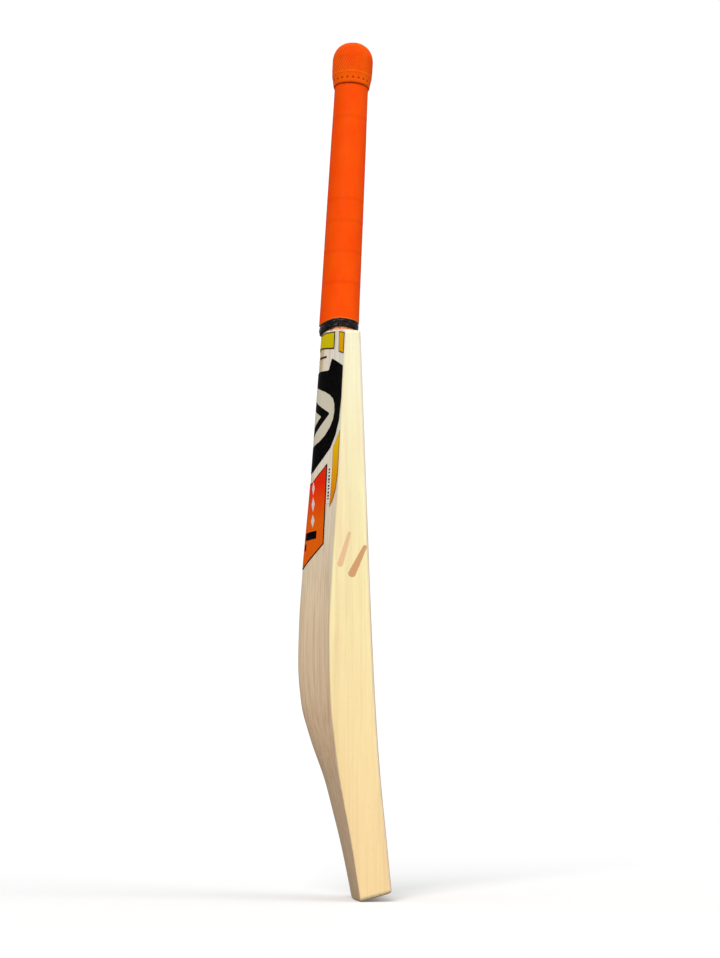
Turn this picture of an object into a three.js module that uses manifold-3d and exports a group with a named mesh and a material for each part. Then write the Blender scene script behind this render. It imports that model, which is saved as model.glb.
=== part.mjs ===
// A full-size cricket bat: a bowed willow blade, a cane handle spliced into it with a V-joint,
// twine binding, a black tape collar, a rubber grip, a rubber end cap and the labels on the back.
// Millimetres, +Z up. The bat stands on its toe, its face looks along -Y and its spine is at +Y.
import * as THREE from 'three';
import { mergeVertices } from 'three/addons/utils/BufferGeometryUtils.js';
import Module from 'manifold-3d';

const wasm = await Module();
wasm.setup();

// ---- Driving dimensions -------------------------------------------------------------------

const gap = 0.3; // left between any two pieces that touch on the real bat

// Blade. Depths are measured square to the face.
const bladeLength = 547;
const bladeWidth = 108;
const faceCrown = 0.8; // how far the middle of the face stands out past its edges
const bow = 29; // how far the toe swings forward of the shoulders
const shoulderFace = -3.9; // Y of the face at the shoulders
const spineDepth = 67.2; // face to ridge at the swell
const shoulderSpine = 33.6;
const toeSpine = 31;
const edgeDepth = 41.3; // thickness of the edge at the swell
const shoulderEdge = 13.6;
const toeEdge = 28.5;
const ridgeRadius = 9; // the ridge is sharpest at the swell
const ridgeRadiusTop = 26;
const ridgeRadiusToe = 40;
const flankHollow = 1.2; // 1 is a straight flank, more makes it concave
const faceCorner = 4;
const backCorner = 1.2;
const toeCorner = 5;
const toeRound = 3;
const toeRise = 7.7; // the toe is cut at a slant, higher at the face
const toeSlantHeight = 70;
const neckWidth = 32; // width of the land that carries the handle
const neckCorner = 12; // the face corners grow to this towards the neck
const shoulderDrop = 14; // height over which the shoulders reach the full width
const landFall = 1.5; // the land sits this much below the foot of the handle
const landDrop = 4; // and falls away further towards the spine

// Splice
const spliceLength = 190;
const spliceMargin = 1.9; // how much wider the splice is than the cane, each side
const spliceTip = 3;

// Handle. Depths are front to back; widths follow from the oval.
const handleLean = THREE.MathUtils.degToRad(2.75); // leans towards the face
const handleFoot = 12.9; // Y of the handle axis at the shoulders
const caneLength = 298;
const caneDepthLow = 32.8;
const caneDepthHigh = 26.4;
const ovalRatio = 0.92; // width over depth
const rodTail = 14; // how far the round part runs down into the splice
const layerPitch = 8;
const rubberThickness = 1.6;

// Binding, collar, grip and cap
const twineWall = 1.0;
const twineStart = 14;
const gripWall = 2.0;
const gripStart = 9.3;
const gripSetback = 18.5; // from the top of the cane down to the end of the grip
const gripDip = 5; // the lower end of the grip hangs lower at the back
const collarWall = 2.8;
const collarStart = -0.2;
const collarDip = 5.6;
const capCover = 40.2; // how far the cap comes down over the cane
const capCrown = 8.2; // how far it stands above the cane
const capDiameter = 41.4;
const capLip = 0.6;
const capSkirt = 10; // height of the dotted band
const capDomeStart = 28;

// Labels
const labelThickness = 0.3;
const labelLift = gap;
const labelReach = 280; // how far below the shoulders the labels may go
const labelMargin = 1.2; // from a label to the edge of the blade

// ---- Helpers --------------------------------------------------------------------------------

const mix = (from, to, share) => from + (to - from) * share;
const clamp = THREE.MathUtils.clamp;

// A smooth curve through a few points that never overshoots them.
function smooth(points) {
  const last = points.length - 1;
  const rise = [];
  for (let i = 0; i < last; i++) {
    rise.push((points[i + 1][1] - points[i][1]) / (points[i + 1][0] - points[i][0]));
  }
  const slope = points.map((point, i) => {
    if (i === 0) return rise[0];
    if (i === last) return rise[last - 1];
    const turn = rise[i - 1] * rise[i];
    return turn <= 0 ? 0 : (2 * turn) / (rise[i - 1] + rise[i]);
  });
  return (value) => {
    const t = clamp(value, points[0][0], points[last][0]);
    let i = 0;
    while (i < last - 1 && t > points[i + 1][0]) i++;
    const span = points[i + 1][0] - points[i][0];
    const u = (t - points[i][0]) / span;
    const start = points[i][1] * (1 + 2 * u) * (1 - u) ** 2 + slope[i] * span * u * (1 - u) ** 2;
    const end = points[i + 1][1] * u * u * (3 - 2 * u) - slope[i + 1] * span * u * u * (1 - u);
    return start + end;
  };
}

function toManifold(geometry) {
  const plain = geometry.clone();
  plain.deleteAttribute('normal');
  plain.deleteAttribute('uv');
  const merged = mergeVertices(plain, 1e-4);
  const mesh = new wasm.Mesh({
    numProp: 3,
    vertProperties: new Float32Array(merged.attributes.position.array),
    triVerts: new Uint32Array(merged.index.array),
  });
  return new wasm.Manifold(mesh);
}

function toGeometry(solid) {
  const mesh = solid.getMesh();
  const geometry = new THREE.BufferGeometry();
  const positions = new Float32Array(mesh.numVert * 3);
  for (let i = 0; i < mesh.numVert; i++) {
    for (let k = 0; k < 3; k++) {
      positions[i * 3 + k] = mesh.vertProperties[i * mesh.numProp + k];
    }
  }
  geometry.setAttribute('position', new THREE.BufferAttribute(positions, 3));
  geometry.setIndex(new THREE.BufferAttribute(new Uint32Array(mesh.triVerts), 1));
  geometry.computeVertexNormals();
  return geometry;
}

// Joins closed rings of equal point count into one solid; the end rings become flat caps.
function loft(rings) {
  const count = rings[0].length;
  const positions = rings.flat(2);
  const index = [];
  for (let r = 0; r < rings.length - 1; r++) {
    for (let i = 0; i < count; i++) {
      const a = r * count + i;
      const b = r * count + ((i + 1) % count);
      index.push(a, b, b + count, a, b + count, a + count);
    }
  }
  for (const [ring, flip] of [[0, true], [rings.length - 1, false]]) {
    const flat = rings[ring].map((point) => new THREE.Vector2(point[0], point[1]));
    for (const [a, b, c] of THREE.ShapeUtils.triangulateShape(flat, [])) {
      const corner = [a, b, c].map((i) => ring * count + i);
      index.push(...(flip ? corner.reverse() : corner));
    }
  }
  const geometry = new THREE.BufferGeometry();
  geometry.setAttribute('position', new THREE.Float32BufferAttribute(positions, 3));
  geometry.setIndex(index);
  geometry.computeVertexNormals();
  return geometry;
}

// ---- Blade surface ----------------------------------------------------------------------------

const halfWidth = bladeWidth / 2;

const faceShape = smooth([
  [0, 1], [0.08, 0.876], [0.165, 0.72], [0.25, 0.583], [0.42, 0.407], [0.67, 0.228], [0.85, 0.107], [1, 0],
]);
const edgeShape = smooth([
  [0, toeEdge],
  [0.11, mix(toeEdge, edgeDepth, 0.38)],
  [0.22, mix(toeEdge, edgeDepth, 0.8)],
  [0.34, edgeDepth],
  [0.44, mix(shoulderEdge, edgeDepth, 0.95)],
  [0.55, mix(shoulderEdge, edgeDepth, 0.773)],
  [0.7, mix(shoulderEdge, edgeDepth, 0.49)],
  [0.85, mix(shoulderEdge, edgeDepth, 0.253)],
  [1, shoulderEdge],
]);
const spineShape = smooth([
  [0, toeSpine],
  [0.09, mix(toeSpine, spineDepth, 0.19)],
  [0.155, mix(toeSpine, spineDepth, 0.348)],
  [0.2, mix(toeSpine, spineDepth, 0.472)],
  [0.275, mix(toeSpine, spineDepth, 0.79)],
  [0.33, mix(toeSpine, spineDepth, 0.961)],
  [0.385, spineDepth],
  [0.46, mix(shoulderSpine, spineDepth, 0.938)],
  [0.55, mix(shoulderSpine, spineDepth, 0.8)],
  [0.73, mix(shoulderSpine, spineDepth, 0.453)],
  [0.88, mix(shoulderSpine, spineDepth, 0.2)],
  [1, shoulderSpine],
]);
const ridgeShape = smooth([
  [0, ridgeRadiusToe], [0.2, 16], [0.38, ridgeRadius], [0.7, 12], [1, ridgeRadiusTop],
]);
const shoulderOutline = smooth([
  [0, halfWidth],
  [0.08, mix(neckWidth / 2, halfWidth, 0.97)],
  [0.22, mix(neckWidth / 2, halfWidth, 0.84)],
  [0.45, mix(neckWidth / 2, halfWidth, 0.58)],
  [0.75, mix(neckWidth / 2, halfWidth, 0.25)],
  [1, neckWidth / 2],
]);

const faceLine = (z) => shoulderFace - bow * faceShape(z / bladeLength);
const faceY = (x, z) => faceLine(z) - faceCrown * (1 - (x / halfWidth) ** 2);

function backY(x, z) {
  const along = z / bladeLength;
  const edge = faceLine(z) + edgeShape(along);
  const ridge = faceLine(z) + spineShape(along);
  const radius = ridgeShape(along);
  const reach = (Math.hypot(x, radius) - radius) / (Math.hypot(halfWidth, radius) - radius);
  return edge + (ridge - edge) * (1 - Math.min(reach, 1)) ** flankHollow;
}

const upShoulder = (z) => clamp((z - (bladeLength - shoulderDrop)) / shoulderDrop, 0, 1);

function outline(z) {
  if (z < toeCorner) {
    return halfWidth - toeCorner + Math.sqrt(toeCorner ** 2 - (toeCorner - z) ** 2);
  }
  return shoulderOutline(upShoulder(z));
}

// Slants the toe cut and lets the land at the top fall away towards the spine.
function endSlant(y, z) {
  const toeBack = faceLine(0) + toeEdge;
  const low = clamp(1 - z / toeSlantHeight, 0, 1) ** 2;
  const high = clamp(1 - (bladeLength - z) / (3 * shoulderDrop), 0, 1) ** 2;
  const back = clamp((y - handleFoot + 4) / (shoulderSpine - handleFoot), 0, 1.2);
  return toeRise * low * ((toeBack - y) / toeEdge) - high * (landFall + landDrop * back ** 1.5);
}

// Places across the back, closer together at the ridge.
function acrossBack(width) {
  const reach = width - 2 * backCorner;
  const count = 7;
  const places = [];
  for (let i = -count; i <= count; i++) {
    places.push(reach * Math.sign(i) * Math.abs(i / count) ** 1.4);
  }
  return places;
}

// One level section of the blade, counter-clockwise seen from above.
function bladeRing(z) {
  const width = outline(z);
  const lift = z < toeRound ? toeRound - Math.sqrt(toeRound ** 2 - (toeRound - z) ** 2) : 0;
  const points = [];
  const corner = mix(faceCorner, neckCorner, upShoulder(z));
  const faceStart = width - corner;
  for (let i = -4; i <= 4; i++) {
    const x = (faceStart * i) / 4;
    points.push([x, faceY(x, z) + lift]);
  }
  const side = [];
  const cornerY = faceY(width, z) + corner + lift;
  for (const turn of [0.3, 0.65, 1]) {
    const angle = (turn * Math.PI) / 2;
    side.push([faceStart + corner * Math.sin(angle), cornerY - corner * Math.cos(angle)]);
  }
  const back = (x) => [x, backY(x, z) - lift * (1 - 0.6 * (Math.abs(x) / width))];
  side.push([width, back(width)[1] - backCorner]);
  side.push(back(width - backCorner));
  points.push(...side);
  points.push(...acrossBack(width).reverse().map(back));
  points.push(...side.reverse().map(([x, y]) => [-x, y]));
  return points.map(([x, y]) => [x, y, z + endSlant(y, z)]);
}

function bladeStations() {
  const stations = [0, 0.4, 1.4, 3, 5, 8, 12, 18];
  const plainStart = 26;
  const plainEnd = bladeLength - shoulderDrop - 3;
  const steps = 26;
  for (let i = 0; i <= steps; i++) {
    stations.push(mix(plainStart, plainEnd, i / steps));
  }
  for (const share of [0, 0.08, 0.22, 0.45, 0.75, 1]) {
    stations.push(bladeLength - shoulderDrop * (1 - share));
  }
  return stations;
}

// ---- Splice -----------------------------------------------------------------------------------

const spliceWidth = caneDepthLow * ovalRatio + 2 * spliceMargin;

// The V-prism of the splice, seen from the front; the slot in the blade is larger by the gap.
function spliceWedge(clearance) {
  const top = 60;
  const slope = (spliceWidth - spliceTip) / 2 / spliceLength;
  const shape = new THREE.Shape();
  const low = bladeLength - spliceLength - clearance;
  const half = (z) => spliceTip / 2 + (z - (bladeLength - spliceLength)) * slope + clearance;
  shape.moveTo(-half(low), low);
  shape.lineTo(half(low), low);
  shape.lineTo(half(bladeLength + top), bladeLength + top);
  shape.lineTo(-half(bladeLength + top), bladeLength + top);
  const depth = 4 * spineDepth;
  const geometry = new THREE.ExtrudeGeometry(shape, { depth, bevelEnabled: false });
  geometry.rotateX(Math.PI / 2);
  geometry.translate(0, depth / 2, 0);
  return toManifold(geometry);
}

const bladeBlank = toManifold(loft(bladeStations().map(bladeRing)));

// ---- Handle -----------------------------------------------------------------------------------

// Everything on the handle is made upright on its own axis and then leaned about the shoulders.
const handlePlace = new THREE.Matrix4()
  .makeRotationX(handleLean)
  .setPosition(0, handleFoot, bladeLength);

const caneShape = smooth([
  [0, 0], [0.1, 0.17], [0.45, 0.48], [0.66, 0.69], [0.81, 0.88], [1, 1],
]);
const gripEnd = caneLength - gripSetback;
const capStart = caneLength - capCover;
const capHeight = capCover + capCrown;
const caneRadius = (z) => mix(caneDepthLow, caneDepthHigh, caneShape(z / caneLength)) / 2;

// Turns a profile of [radius front to back, height] about the handle axis and makes it oval.
function turned(profile, segments = 28) {
  const points = profile.map(([radius, z]) => new THREE.Vector2(radius, z));
  const geometry = new THREE.LatheGeometry(points, segments);
  geometry.rotateX(Math.PI / 2);
  geometry.scale(ovalRatio, 1, 1);
  return geometry;
}

// A sleeve whose walls follow the cane at two distances from it.
function sleeve(inside, outside, from, to, steps, bevel) {
  const heights = Array.from({ length: steps + 1 }, (unused, i) => mix(from, to, i / steps));
  const outer = heights.map((z) => [caneRadius(z) + outside, z]);
  outer[0][0] -= bevel;
  outer[steps][0] -= bevel;
  outer.splice(1, 0, [caneRadius(from) + outside, from + bevel]);
  outer.splice(steps + 1, 0, [caneRadius(to) + outside, to - bevel]);
  const inner = heights.map((z) => [caneRadius(z) + inside, z]).reverse();
  return turned([...outer, ...inner, outer[0]]);
}

// Pulls the lower part of a handle piece down at the back.
function dip(geometry, amount, from, fade) {
  const position = geometry.attributes.position;
  for (let i = 0; i < position.count; i++) {
    const near = clamp(1 - (position.getZ(i) - from) / fade, 0, 1);
    const back = Math.max(0, position.getY(i) / (caneRadius(0) + collarWall));
    position.setZ(i, position.getZ(i) - amount * near * back ** 1.5);
  }
  return geometry;
}

const onHandle = (geometry) => geometry.applyMatrix4(handlePlace);

function handleBlank() {
  const heights = [0, 0.1, 0.28, 0.45, 0.66, 0.81, 1].map((share) => share * caneLength);
  const behind = shoulderFace + shoulderSpine - handleFoot;
  const infront = handleFoot - shoulderFace;
  const tailRadius = Math.min(behind, infront) - 1; // stays inside the blade
  const tailTop = -landFall - landDrop - 1;
  const profile = [[0, -rodTail], [tailRadius, -rodTail], [tailRadius, tailTop], [caneRadius(0), tailTop]];
  for (const z of heights) {
    profile.push([caneRadius(z), z]);
  }
  profile.push([0, caneLength]);
  const rod = toManifold(onHandle(turned(profile)));
  return bladeBlank.intersect(spliceWedge(0)).add(rod);
}

// A slab of the handle blank between two widths and two depths.
function handleCell(x0, x1, y0, y1) {
  const low = -1.3 * spliceLength;
  const high = caneLength + 20;
  const box = new THREE.BoxGeometry(x1 - x0, y1 - y0, high - low);
  box.translate((x0 + x1) / 2, (y0 + y1) / 2, (low + high) / 2);
  return toManifold(onHandle(box));
}

// ---- Labels -----------------------------------------------------------------------------------

// A thin skin that floats just off the back of the blade; every label is cut from it.
function labelSkin() {
  const places = [backCorner - halfWidth, ...acrossBack(halfWidth), halfWidth - backCorner];
  const heights = bladeStations().filter((z) => z > bladeLength - labelReach && z < bladeLength - 2);
  const lift = (x, z, distance) => {
    const step = 0.5;
    const slopeX = (backY(x + step, z) - backY(x - step, z)) / (2 * step);
    const slopeZ = (backY(x, z + step) - backY(x, z - step)) / (2 * step);
    const length = Math.hypot(slopeX, 1, slopeZ);
    return [
      x - (slopeX / length) * distance,
      backY(x, z) + distance / length,
      z + endSlant(backY(x, z), z) - (slopeZ / length) * distance,
    ];
  };
  const rings = heights.map((z) => [
    ...places.map((x) => lift(x, z, labelLift)),
    ...places.toReversed().map((x) => lift(x, z, labelLift + labelThickness)),
  ]);
  return toManifold(loft(rings));
}

const skin = labelSkin();
const labelEdge = halfWidth - labelMargin;

// A prism right through the blade. A point of the outline is [place across the back, height below
// the shoulders]; the place is 0 at the ridge and 1 where the labels end, near the edge.
function prism(points) {
  const place = ([across, below]) => new THREE.Vector2(across * labelEdge, bladeLength - below);
  const shape = new THREE.Shape(points.map(place));
  const depth = 4 * spineDepth;
  const geometry = new THREE.ExtrudeGeometry(shape, { depth, bevelEnabled: false });
  geometry.rotateX(Math.PI / 2);
  geometry.translate(0, depth / 2, 0);
  return toManifold(geometry);
}

const label = (points) => skin.intersect(prism(points));

const mirrored = (points) => points.map(([x, below]) => [-x, below]);
const bothSides = (points) => [...points, ...mirrored(points).reverse()];

// The window in the badge, a pointed arch over a rounded foot; the ring is cut a little larger.
const window = [
  [0, 57.5], [0.415, 67.1], [0.594, 72.5], [0.7, 77.4], [0.755, 83.4], [0.764, 91.1],
  [0.736, 97.9], [0.643, 105.2], [0.49, 111.7], [0.328, 115.8], [0, 119.4],
];
const windowMiddle = 88.5;

function windowOutline(grow) {
  const scale = 1 + grow / 26;
  const half = window.map(([across, below]) => [
    across * scale,
    windowMiddle + (below - windowMiddle) * scale,
  ]);
  return [...half, ...mirrored(half.slice(1, -1)).reverse()];
}

const topLabel = [
  [0.13, 6.6], [0.352, 6.6], [0.484, 8.1], [0.653, 9.7], [0.657, 27.2], [0.364, 23.4], [0.13, 20.7],
];
const badge = [
  [0.174, 44.1], [0.518, 47], [0.601, 36.1], [0.995, 48.4], [0.995, 79.8], [0.943, 100.8],
  [0.832, 114.7], [0.688, 125.5], [0.395, 136.2], [0.153, 144.1],
];
const spinePanel = [[0.161, 154.9], [0.613, 140.2], [0.634, 174.7], [0.664, 218.4], [0.09, 238.5]];
const sideStrip = [[0.79, 11.4], [0.995, 15.4], [0.995, 36.2], [0.812, 32.2]];
const dash = [[0.112, 28.9], [0.405, 30.9], [0.405, 32.7], [0.111, 30.7]];
const flash = [
  [1, 111.8], [1, 149.8], [0.974, 159.8], [0.941, 168.3], [0.862, 177.8], [0.769, 183.7],
  [0.779, 167.8], [0.784, 149.8], [0.776, 126.8],
];
const tickStrip = [[0.664, 143.7], [0.738, 143.8], [0.75, 179.8], [0.676, 179.7]];

// ---- Assembly ---------------------------------------------------------------------------------

const colours = {
  willow: [0xf0dcae, 0.62],
  cane: [0xd2ad70, 0.6],
  insert: [0x2b2623, 0.85],
  twine: [0xd9d2c2, 0.8],
  tape: [0x0c0c0d, 0.3],
  grip: [0xff4a0a, 0.55],
  olive_label: [0xc9b400, 0.35],
  amber_label: [0xe5a50a, 0.35],
  black_label: [0x050505, 0.3],
  cream_label: [0xcfc5a8, 0.4],
  red_label: [0xe23a08, 0.35],
  white_label: [0xe9e4d6, 0.4],
};

const bat = new THREE.Group();
bat.name = 'cricket_bat';

function add(name, geometry, finish) {
  const [color, roughness] = colours[finish];
  const material = new THREE.MeshStandardMaterial({ color, roughness, metalness: 0 });
  const mesh = new THREE.Mesh(geometry, material);
  mesh.name = name;
  bat.add(mesh);
  return mesh;
}

function addBlade() {
  const blade = bladeBlank.subtract(spliceWedge(gap));
  add('blade', toGeometry(blade), 'willow');
}

// Four layers of cane, three strips wide, with a rubber strip between each two layers.
function addCanes() {
  const blank = handleBlank();
  const reach = 80;
  const column = (caneDepthHigh * ovalRatio) / 6 + 0.6;
  const columns = [
    ['left', -reach, -column - gap / 2],
    ['middle', -column + gap / 2, column - gap / 2],
    ['right', column + gap / 2, reach],
  ];
  const half = rubberThickness / 2;
  const layers = [-2, -1, 0, 1].map((step) => [
    step === -2 ? -reach : step * layerPitch + half + gap,
    step === 1 ? reach : (step + 1) * layerPitch - half - gap,
  ]);
  layers.forEach(([y0, y1], row) => {
    for (const [side, x0, x1] of columns) {
      const strip = blank.intersect(handleCell(x0, x1, y0, y1));
      add(`cane_${row + 1}_${side}`, toGeometry(strip), 'cane');
    }
  });
  for (const step of [-1, 0, 1]) {
    const middle = step * layerPitch;
    const strip = blank.intersect(handleCell(-reach, reach, middle - half, middle + half));
    add(`rubber_insert_${step + 2}`, toGeometry(strip), 'insert');
  }
}

function addTwine() {
  const outside = gap + twineWall;
  add('twine_binding', onHandle(sleeve(gap, outside, twineStart, caneLength - 1, 7, 0.3)), 'twine');
}

function addGrip() {
  const inside = gap + twineWall + gap;
  const tube = sleeve(inside, inside + gripWall, gripStart, gripEnd, 9, 0.7);
  add('grip', onHandle(dip(tube, gripDip, gripStart, 26)), 'grip');
}

function addCollar() {
  const top = gripStart - gap;
  const inner = caneRadius(0) + gap;
  const outer = inner + collarWall;
  const profile = [
    [inner, collarStart], [outer - 1.2, collarStart], [outer - 0.2, collarStart + 1.2],
    [outer, (collarStart + top) / 2], [outer - 0.3, top - 0.8], [outer - 1.1, top], [inner, top],
    [inner, collarStart],
  ];
  add('tape_collar', onHandle(dip(turned(profile, 32), collarDip, top, 26)), 'tape');
}

function addCap() {
  const gripOutside = gap + twineWall + gap + gripWall;
  const overTwine = gap + twineWall + gap;
  const rim = caneRadius(capStart) + gripOutside + gap;
  const wide = capDiameter / 2;
  const profile = [
    [0, caneLength + gap],
    [caneRadius(caneLength) + overTwine, caneLength + gap],
    [caneRadius(gripEnd) + overTwine, gripEnd + gap],
    [caneRadius(gripEnd) + gripOutside + gap, gripEnd + gap],
    [rim, capStart],
    [rim + capLip, capStart],
    [rim + capLip + 0.8, capStart + 2.5],
    [wide - 1.2, capStart + capSkirt - 1.5],
    [wide - 1.2, capStart + capSkirt],
    [wide - 0.5, capStart + capSkirt + 1],
    [wide, capStart + capSkirt + 9],
  ];
  const steps = 9;
  for (let i = 0; i <= steps; i++) {
    const angle = (i / steps) * (Math.PI / 2);
    const radius = i === steps ? 0 : wide * Math.cos(angle) ** 0.85;
    const rise = (capHeight - capDomeStart) * Math.sin(angle) ** 0.9;
    profile.push([radius, capStart + capDomeStart + rise]);
  }
  const geometry = turned(profile, 32);
  geometry.scale(0.97 / ovalRatio, 1, 1);
  add('end_cap', onHandle(geometry), 'grip');
}

function addLabels() {
  const badgeRing = label(bothSides(badge)).subtract(prism(windowOutline(2 * gap)));
  add('top_label', toGeometry(label(bothSides(topLabel))), 'olive_label');
  add('badge_ring', toGeometry(badgeRing), 'black_label');
  add('badge_centre', toGeometry(label(windowOutline(0))), 'cream_label');
  add('spine_panel', toGeometry(label(bothSides(spinePanel))), 'red_label');
  for (const [side, turn] of [['left', mirrored], ['right', (points) => points]]) {
    add(`side_strip_${side}`, toGeometry(label(turn(sideStrip))), 'amber_label');
    add(`dash_${side}`, toGeometry(label(turn(dash))), 'black_label');
    add(`flash_${side}`, toGeometry(label(turn(flash))), 'amber_label');
    add(`tick_strip_${side}`, toGeometry(label(turn(tickStrip))), 'white_label');
  }
}

addBlade();
addCanes();
addTwine();
addCollar();
addGrip();
addCap();
addLabels();

// The origin is the middle of the bat's bounding box, at the bottom.
const bounds = new THREE.Box3().setFromObject(bat);
const middle = bounds.getCenter(new THREE.Vector3());
bat.position.set(-middle.x, -middle.y, -bounds.min.z);
bat.updateMatrixWorld(true);

export default bat;
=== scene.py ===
# %% [markdown]
# # A cricket bat, dressed in Blender
# The bat was drawn as separate solids first: blade, cane, twine, tape, grip, cap and labels.
# This lesson loads those solids as a fixed frame and gives every visible piece its real surface.
# Lengths below are in millimetres, as a bat maker writes them, and turn into metres at the last step.

import math

import bpy
from mathutils import Matrix, Vector, geometry, noise


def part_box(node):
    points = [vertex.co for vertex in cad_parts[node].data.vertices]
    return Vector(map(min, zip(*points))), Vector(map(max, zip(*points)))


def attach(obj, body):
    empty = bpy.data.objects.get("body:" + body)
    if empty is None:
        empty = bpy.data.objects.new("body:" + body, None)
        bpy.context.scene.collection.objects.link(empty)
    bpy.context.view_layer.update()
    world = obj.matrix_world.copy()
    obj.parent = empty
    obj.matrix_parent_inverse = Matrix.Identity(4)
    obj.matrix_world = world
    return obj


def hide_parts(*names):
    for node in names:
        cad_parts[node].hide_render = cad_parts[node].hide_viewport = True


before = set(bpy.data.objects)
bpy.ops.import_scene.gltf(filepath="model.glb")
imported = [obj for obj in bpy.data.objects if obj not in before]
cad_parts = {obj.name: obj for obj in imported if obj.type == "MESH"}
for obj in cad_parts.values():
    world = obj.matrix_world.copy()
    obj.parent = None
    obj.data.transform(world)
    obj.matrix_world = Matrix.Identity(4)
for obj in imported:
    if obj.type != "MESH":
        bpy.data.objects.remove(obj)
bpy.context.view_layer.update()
MM = 0.001

# %% [markdown]
# ## Smooth curves through a few measures
# A maker shapes a blade to a handful of depths: at the toe, the swell and the shoulders.
# A monotone cubic passes through such measures without bulging past them, so a thin spot stays thin.

# %% Curves
def mix(start, end, share):
    return start + (end - start) * share


def clamp(value, low=0.0, high=1.0):
    return max(low, min(high, value))


def smooth(points):
    """A smooth curve through (place, value) points that never overshoots them."""
    last = len(points) - 1
    rise = [
        (points[i + 1][1] - points[i][1]) / (points[i + 1][0] - points[i][0])
        for i in range(last)
    ]
    slope = [rise[0]]
    for before, after in zip(rise, rise[1:]):
        turn = before * after
        slope.append(0.0 if turn <= 0 else 2 * turn / (before + after))
    slope.append(rise[-1])

    def curve(place):
        place = clamp(place, points[0][0], points[last][0])
        i = 0
        while i < last - 1 and place > points[i + 1][0]:
            i += 1
        span = points[i + 1][0] - points[i][0]
        u = (place - points[i][0]) / span
        start = points[i][1] * (1 + 2 * u) + slope[i] * span * u
        end = points[i + 1][1] * (3 - 2 * u) - slope[i + 1] * span * (1 - u)
        return start * (1 - u) ** 2 + end * u * u

    return curve


print("a curve from 0 to 1 is", round(smooth([(0, 0), (1, 1)])(0.5), 3), "half way")

# %% [markdown]
# ## The blade's surface
# The blade is bowed, so its face leans forward towards the toe. Its edges are thickest at the swell.
# Behind them the spine stands up in a ridge that is sharpest where the ball is meant to be hit.
# All of it is two height fields over the blade's width, front and back, trimmed by one outline.

# %% Blade measures
LENGTH, WIDTH = 547, 108
HALF = WIDTH / 2
CROWN, BOW, SHOULDER_FACE = 0.8, 29, -3.9
SPINE, SHOULDER_SPINE, TOE_SPINE = 67.2, 33.6, 31
EDGE, SHOULDER_EDGE, TOE_EDGE = 41.3, 13.6, 28.5
FLANK_HOLLOW = 1.2
FACE_CORNER, BACK_CORNER, TOE_CORNER, TOE_ROUND = 4, 1.2, 5, 3
TOE_RISE, TOE_SLANT_HEIGHT = 7.7, 70
NECK, NECK_CORNER, SHOULDER_DROP, LAND_FALL, LAND_DROP = 32, 12, 14, 1.5, 4
HANDLE_LEAN, HANDLE_FOOT = math.radians(2.75), 12.9
print("the blade tapers from", WIDTH, "mm wide to a neck of", NECK)

# %% [markdown]
# ## How the measures change along the bat
# A bat maker checks a blade at stations along its length. Each curve below runs from toe (0) to
# shoulders (1): how far the face swings forward, how thick the edge is, how deep the spine is, how
# round the ridge is. Shares of a named depth keep each curve in step when that depth is changed.

# %% Curves along the blade
face_shape = smooth([
    (0, 1), (0.08, 0.876), (0.165, 0.72), (0.25, 0.583), (0.42, 0.407), (0.67, 0.228), (0.85, 0.107), (1, 0),
])
edge_shape = smooth([
    (0, TOE_EDGE),
    (0.11, mix(TOE_EDGE, EDGE, 0.38)),
    (0.22, mix(TOE_EDGE, EDGE, 0.8)),
    (0.34, EDGE),
    (0.44, mix(SHOULDER_EDGE, EDGE, 0.95)),
    (0.55, mix(SHOULDER_EDGE, EDGE, 0.773)),
    (0.7, mix(SHOULDER_EDGE, EDGE, 0.49)),
    (0.85, mix(SHOULDER_EDGE, EDGE, 0.253)),
    (1, SHOULDER_EDGE),
])
spine_shape = smooth([
    (0, TOE_SPINE),
    (0.09, mix(TOE_SPINE, SPINE, 0.19)),
    (0.155, mix(TOE_SPINE, SPINE, 0.348)),
    (0.2, mix(TOE_SPINE, SPINE, 0.472)),
    (0.275, mix(TOE_SPINE, SPINE, 0.79)),
    (0.33, mix(TOE_SPINE, SPINE, 0.961)),
    (0.385, SPINE),
    (0.46, mix(SHOULDER_SPINE, SPINE, 0.938)),
    (0.55, mix(SHOULDER_SPINE, SPINE, 0.8)),
    (0.73, mix(SHOULDER_SPINE, SPINE, 0.453)),
    (0.88, mix(SHOULDER_SPINE, SPINE, 0.2)),
    (1, SHOULDER_SPINE),
])
ridge_shape = smooth([(0, 40), (0.2, 16), (0.38, 9), (0.7, 12), (1, 26)])
shoulder_outline = smooth([
    (0, HALF),
    (0.08, mix(NECK / 2, HALF, 0.97)),
    (0.22, mix(NECK / 2, HALF, 0.84)),
    (0.45, mix(NECK / 2, HALF, 0.58)),
    (0.75, mix(NECK / 2, HALF, 0.25)),
    (1, NECK / 2),
])
thickest = max(range(LENGTH + 1), key=lambda z: edge_shape(z / LENGTH))
print("the edge is thickest", thickest, "mm above the toe:", round(edge_shape(thickest / LENGTH), 1), "mm")

# %% [markdown]
# ## The surface itself
# The back is a height field: highest on the middle line, falling away along a hyperbola that is round
# at the ridge and nearly straight further out. It is cheaper and smoother than modelling the ridge
# by hand, and the labels can later be laid on it with the same function.

# %% Surface functions
def face_line(z):
    return SHOULDER_FACE - BOW * face_shape(z / LENGTH)


def face_y(x, z):
    return face_line(z) - CROWN * (1 - (x / HALF) ** 2)


def back_y(x, z):
    along = z / LENGTH
    edge = face_line(z) + edge_shape(along)
    ridge = face_line(z) + spine_shape(along)
    radius = ridge_shape(along)
    reach = (math.hypot(x, radius) - radius) / (math.hypot(HALF, radius) - radius)
    return edge + (ridge - edge) * (1 - min(reach, 1)) ** FLANK_HOLLOW


def up_shoulder(z):
    return clamp((z - (LENGTH - SHOULDER_DROP)) / SHOULDER_DROP)


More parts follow.
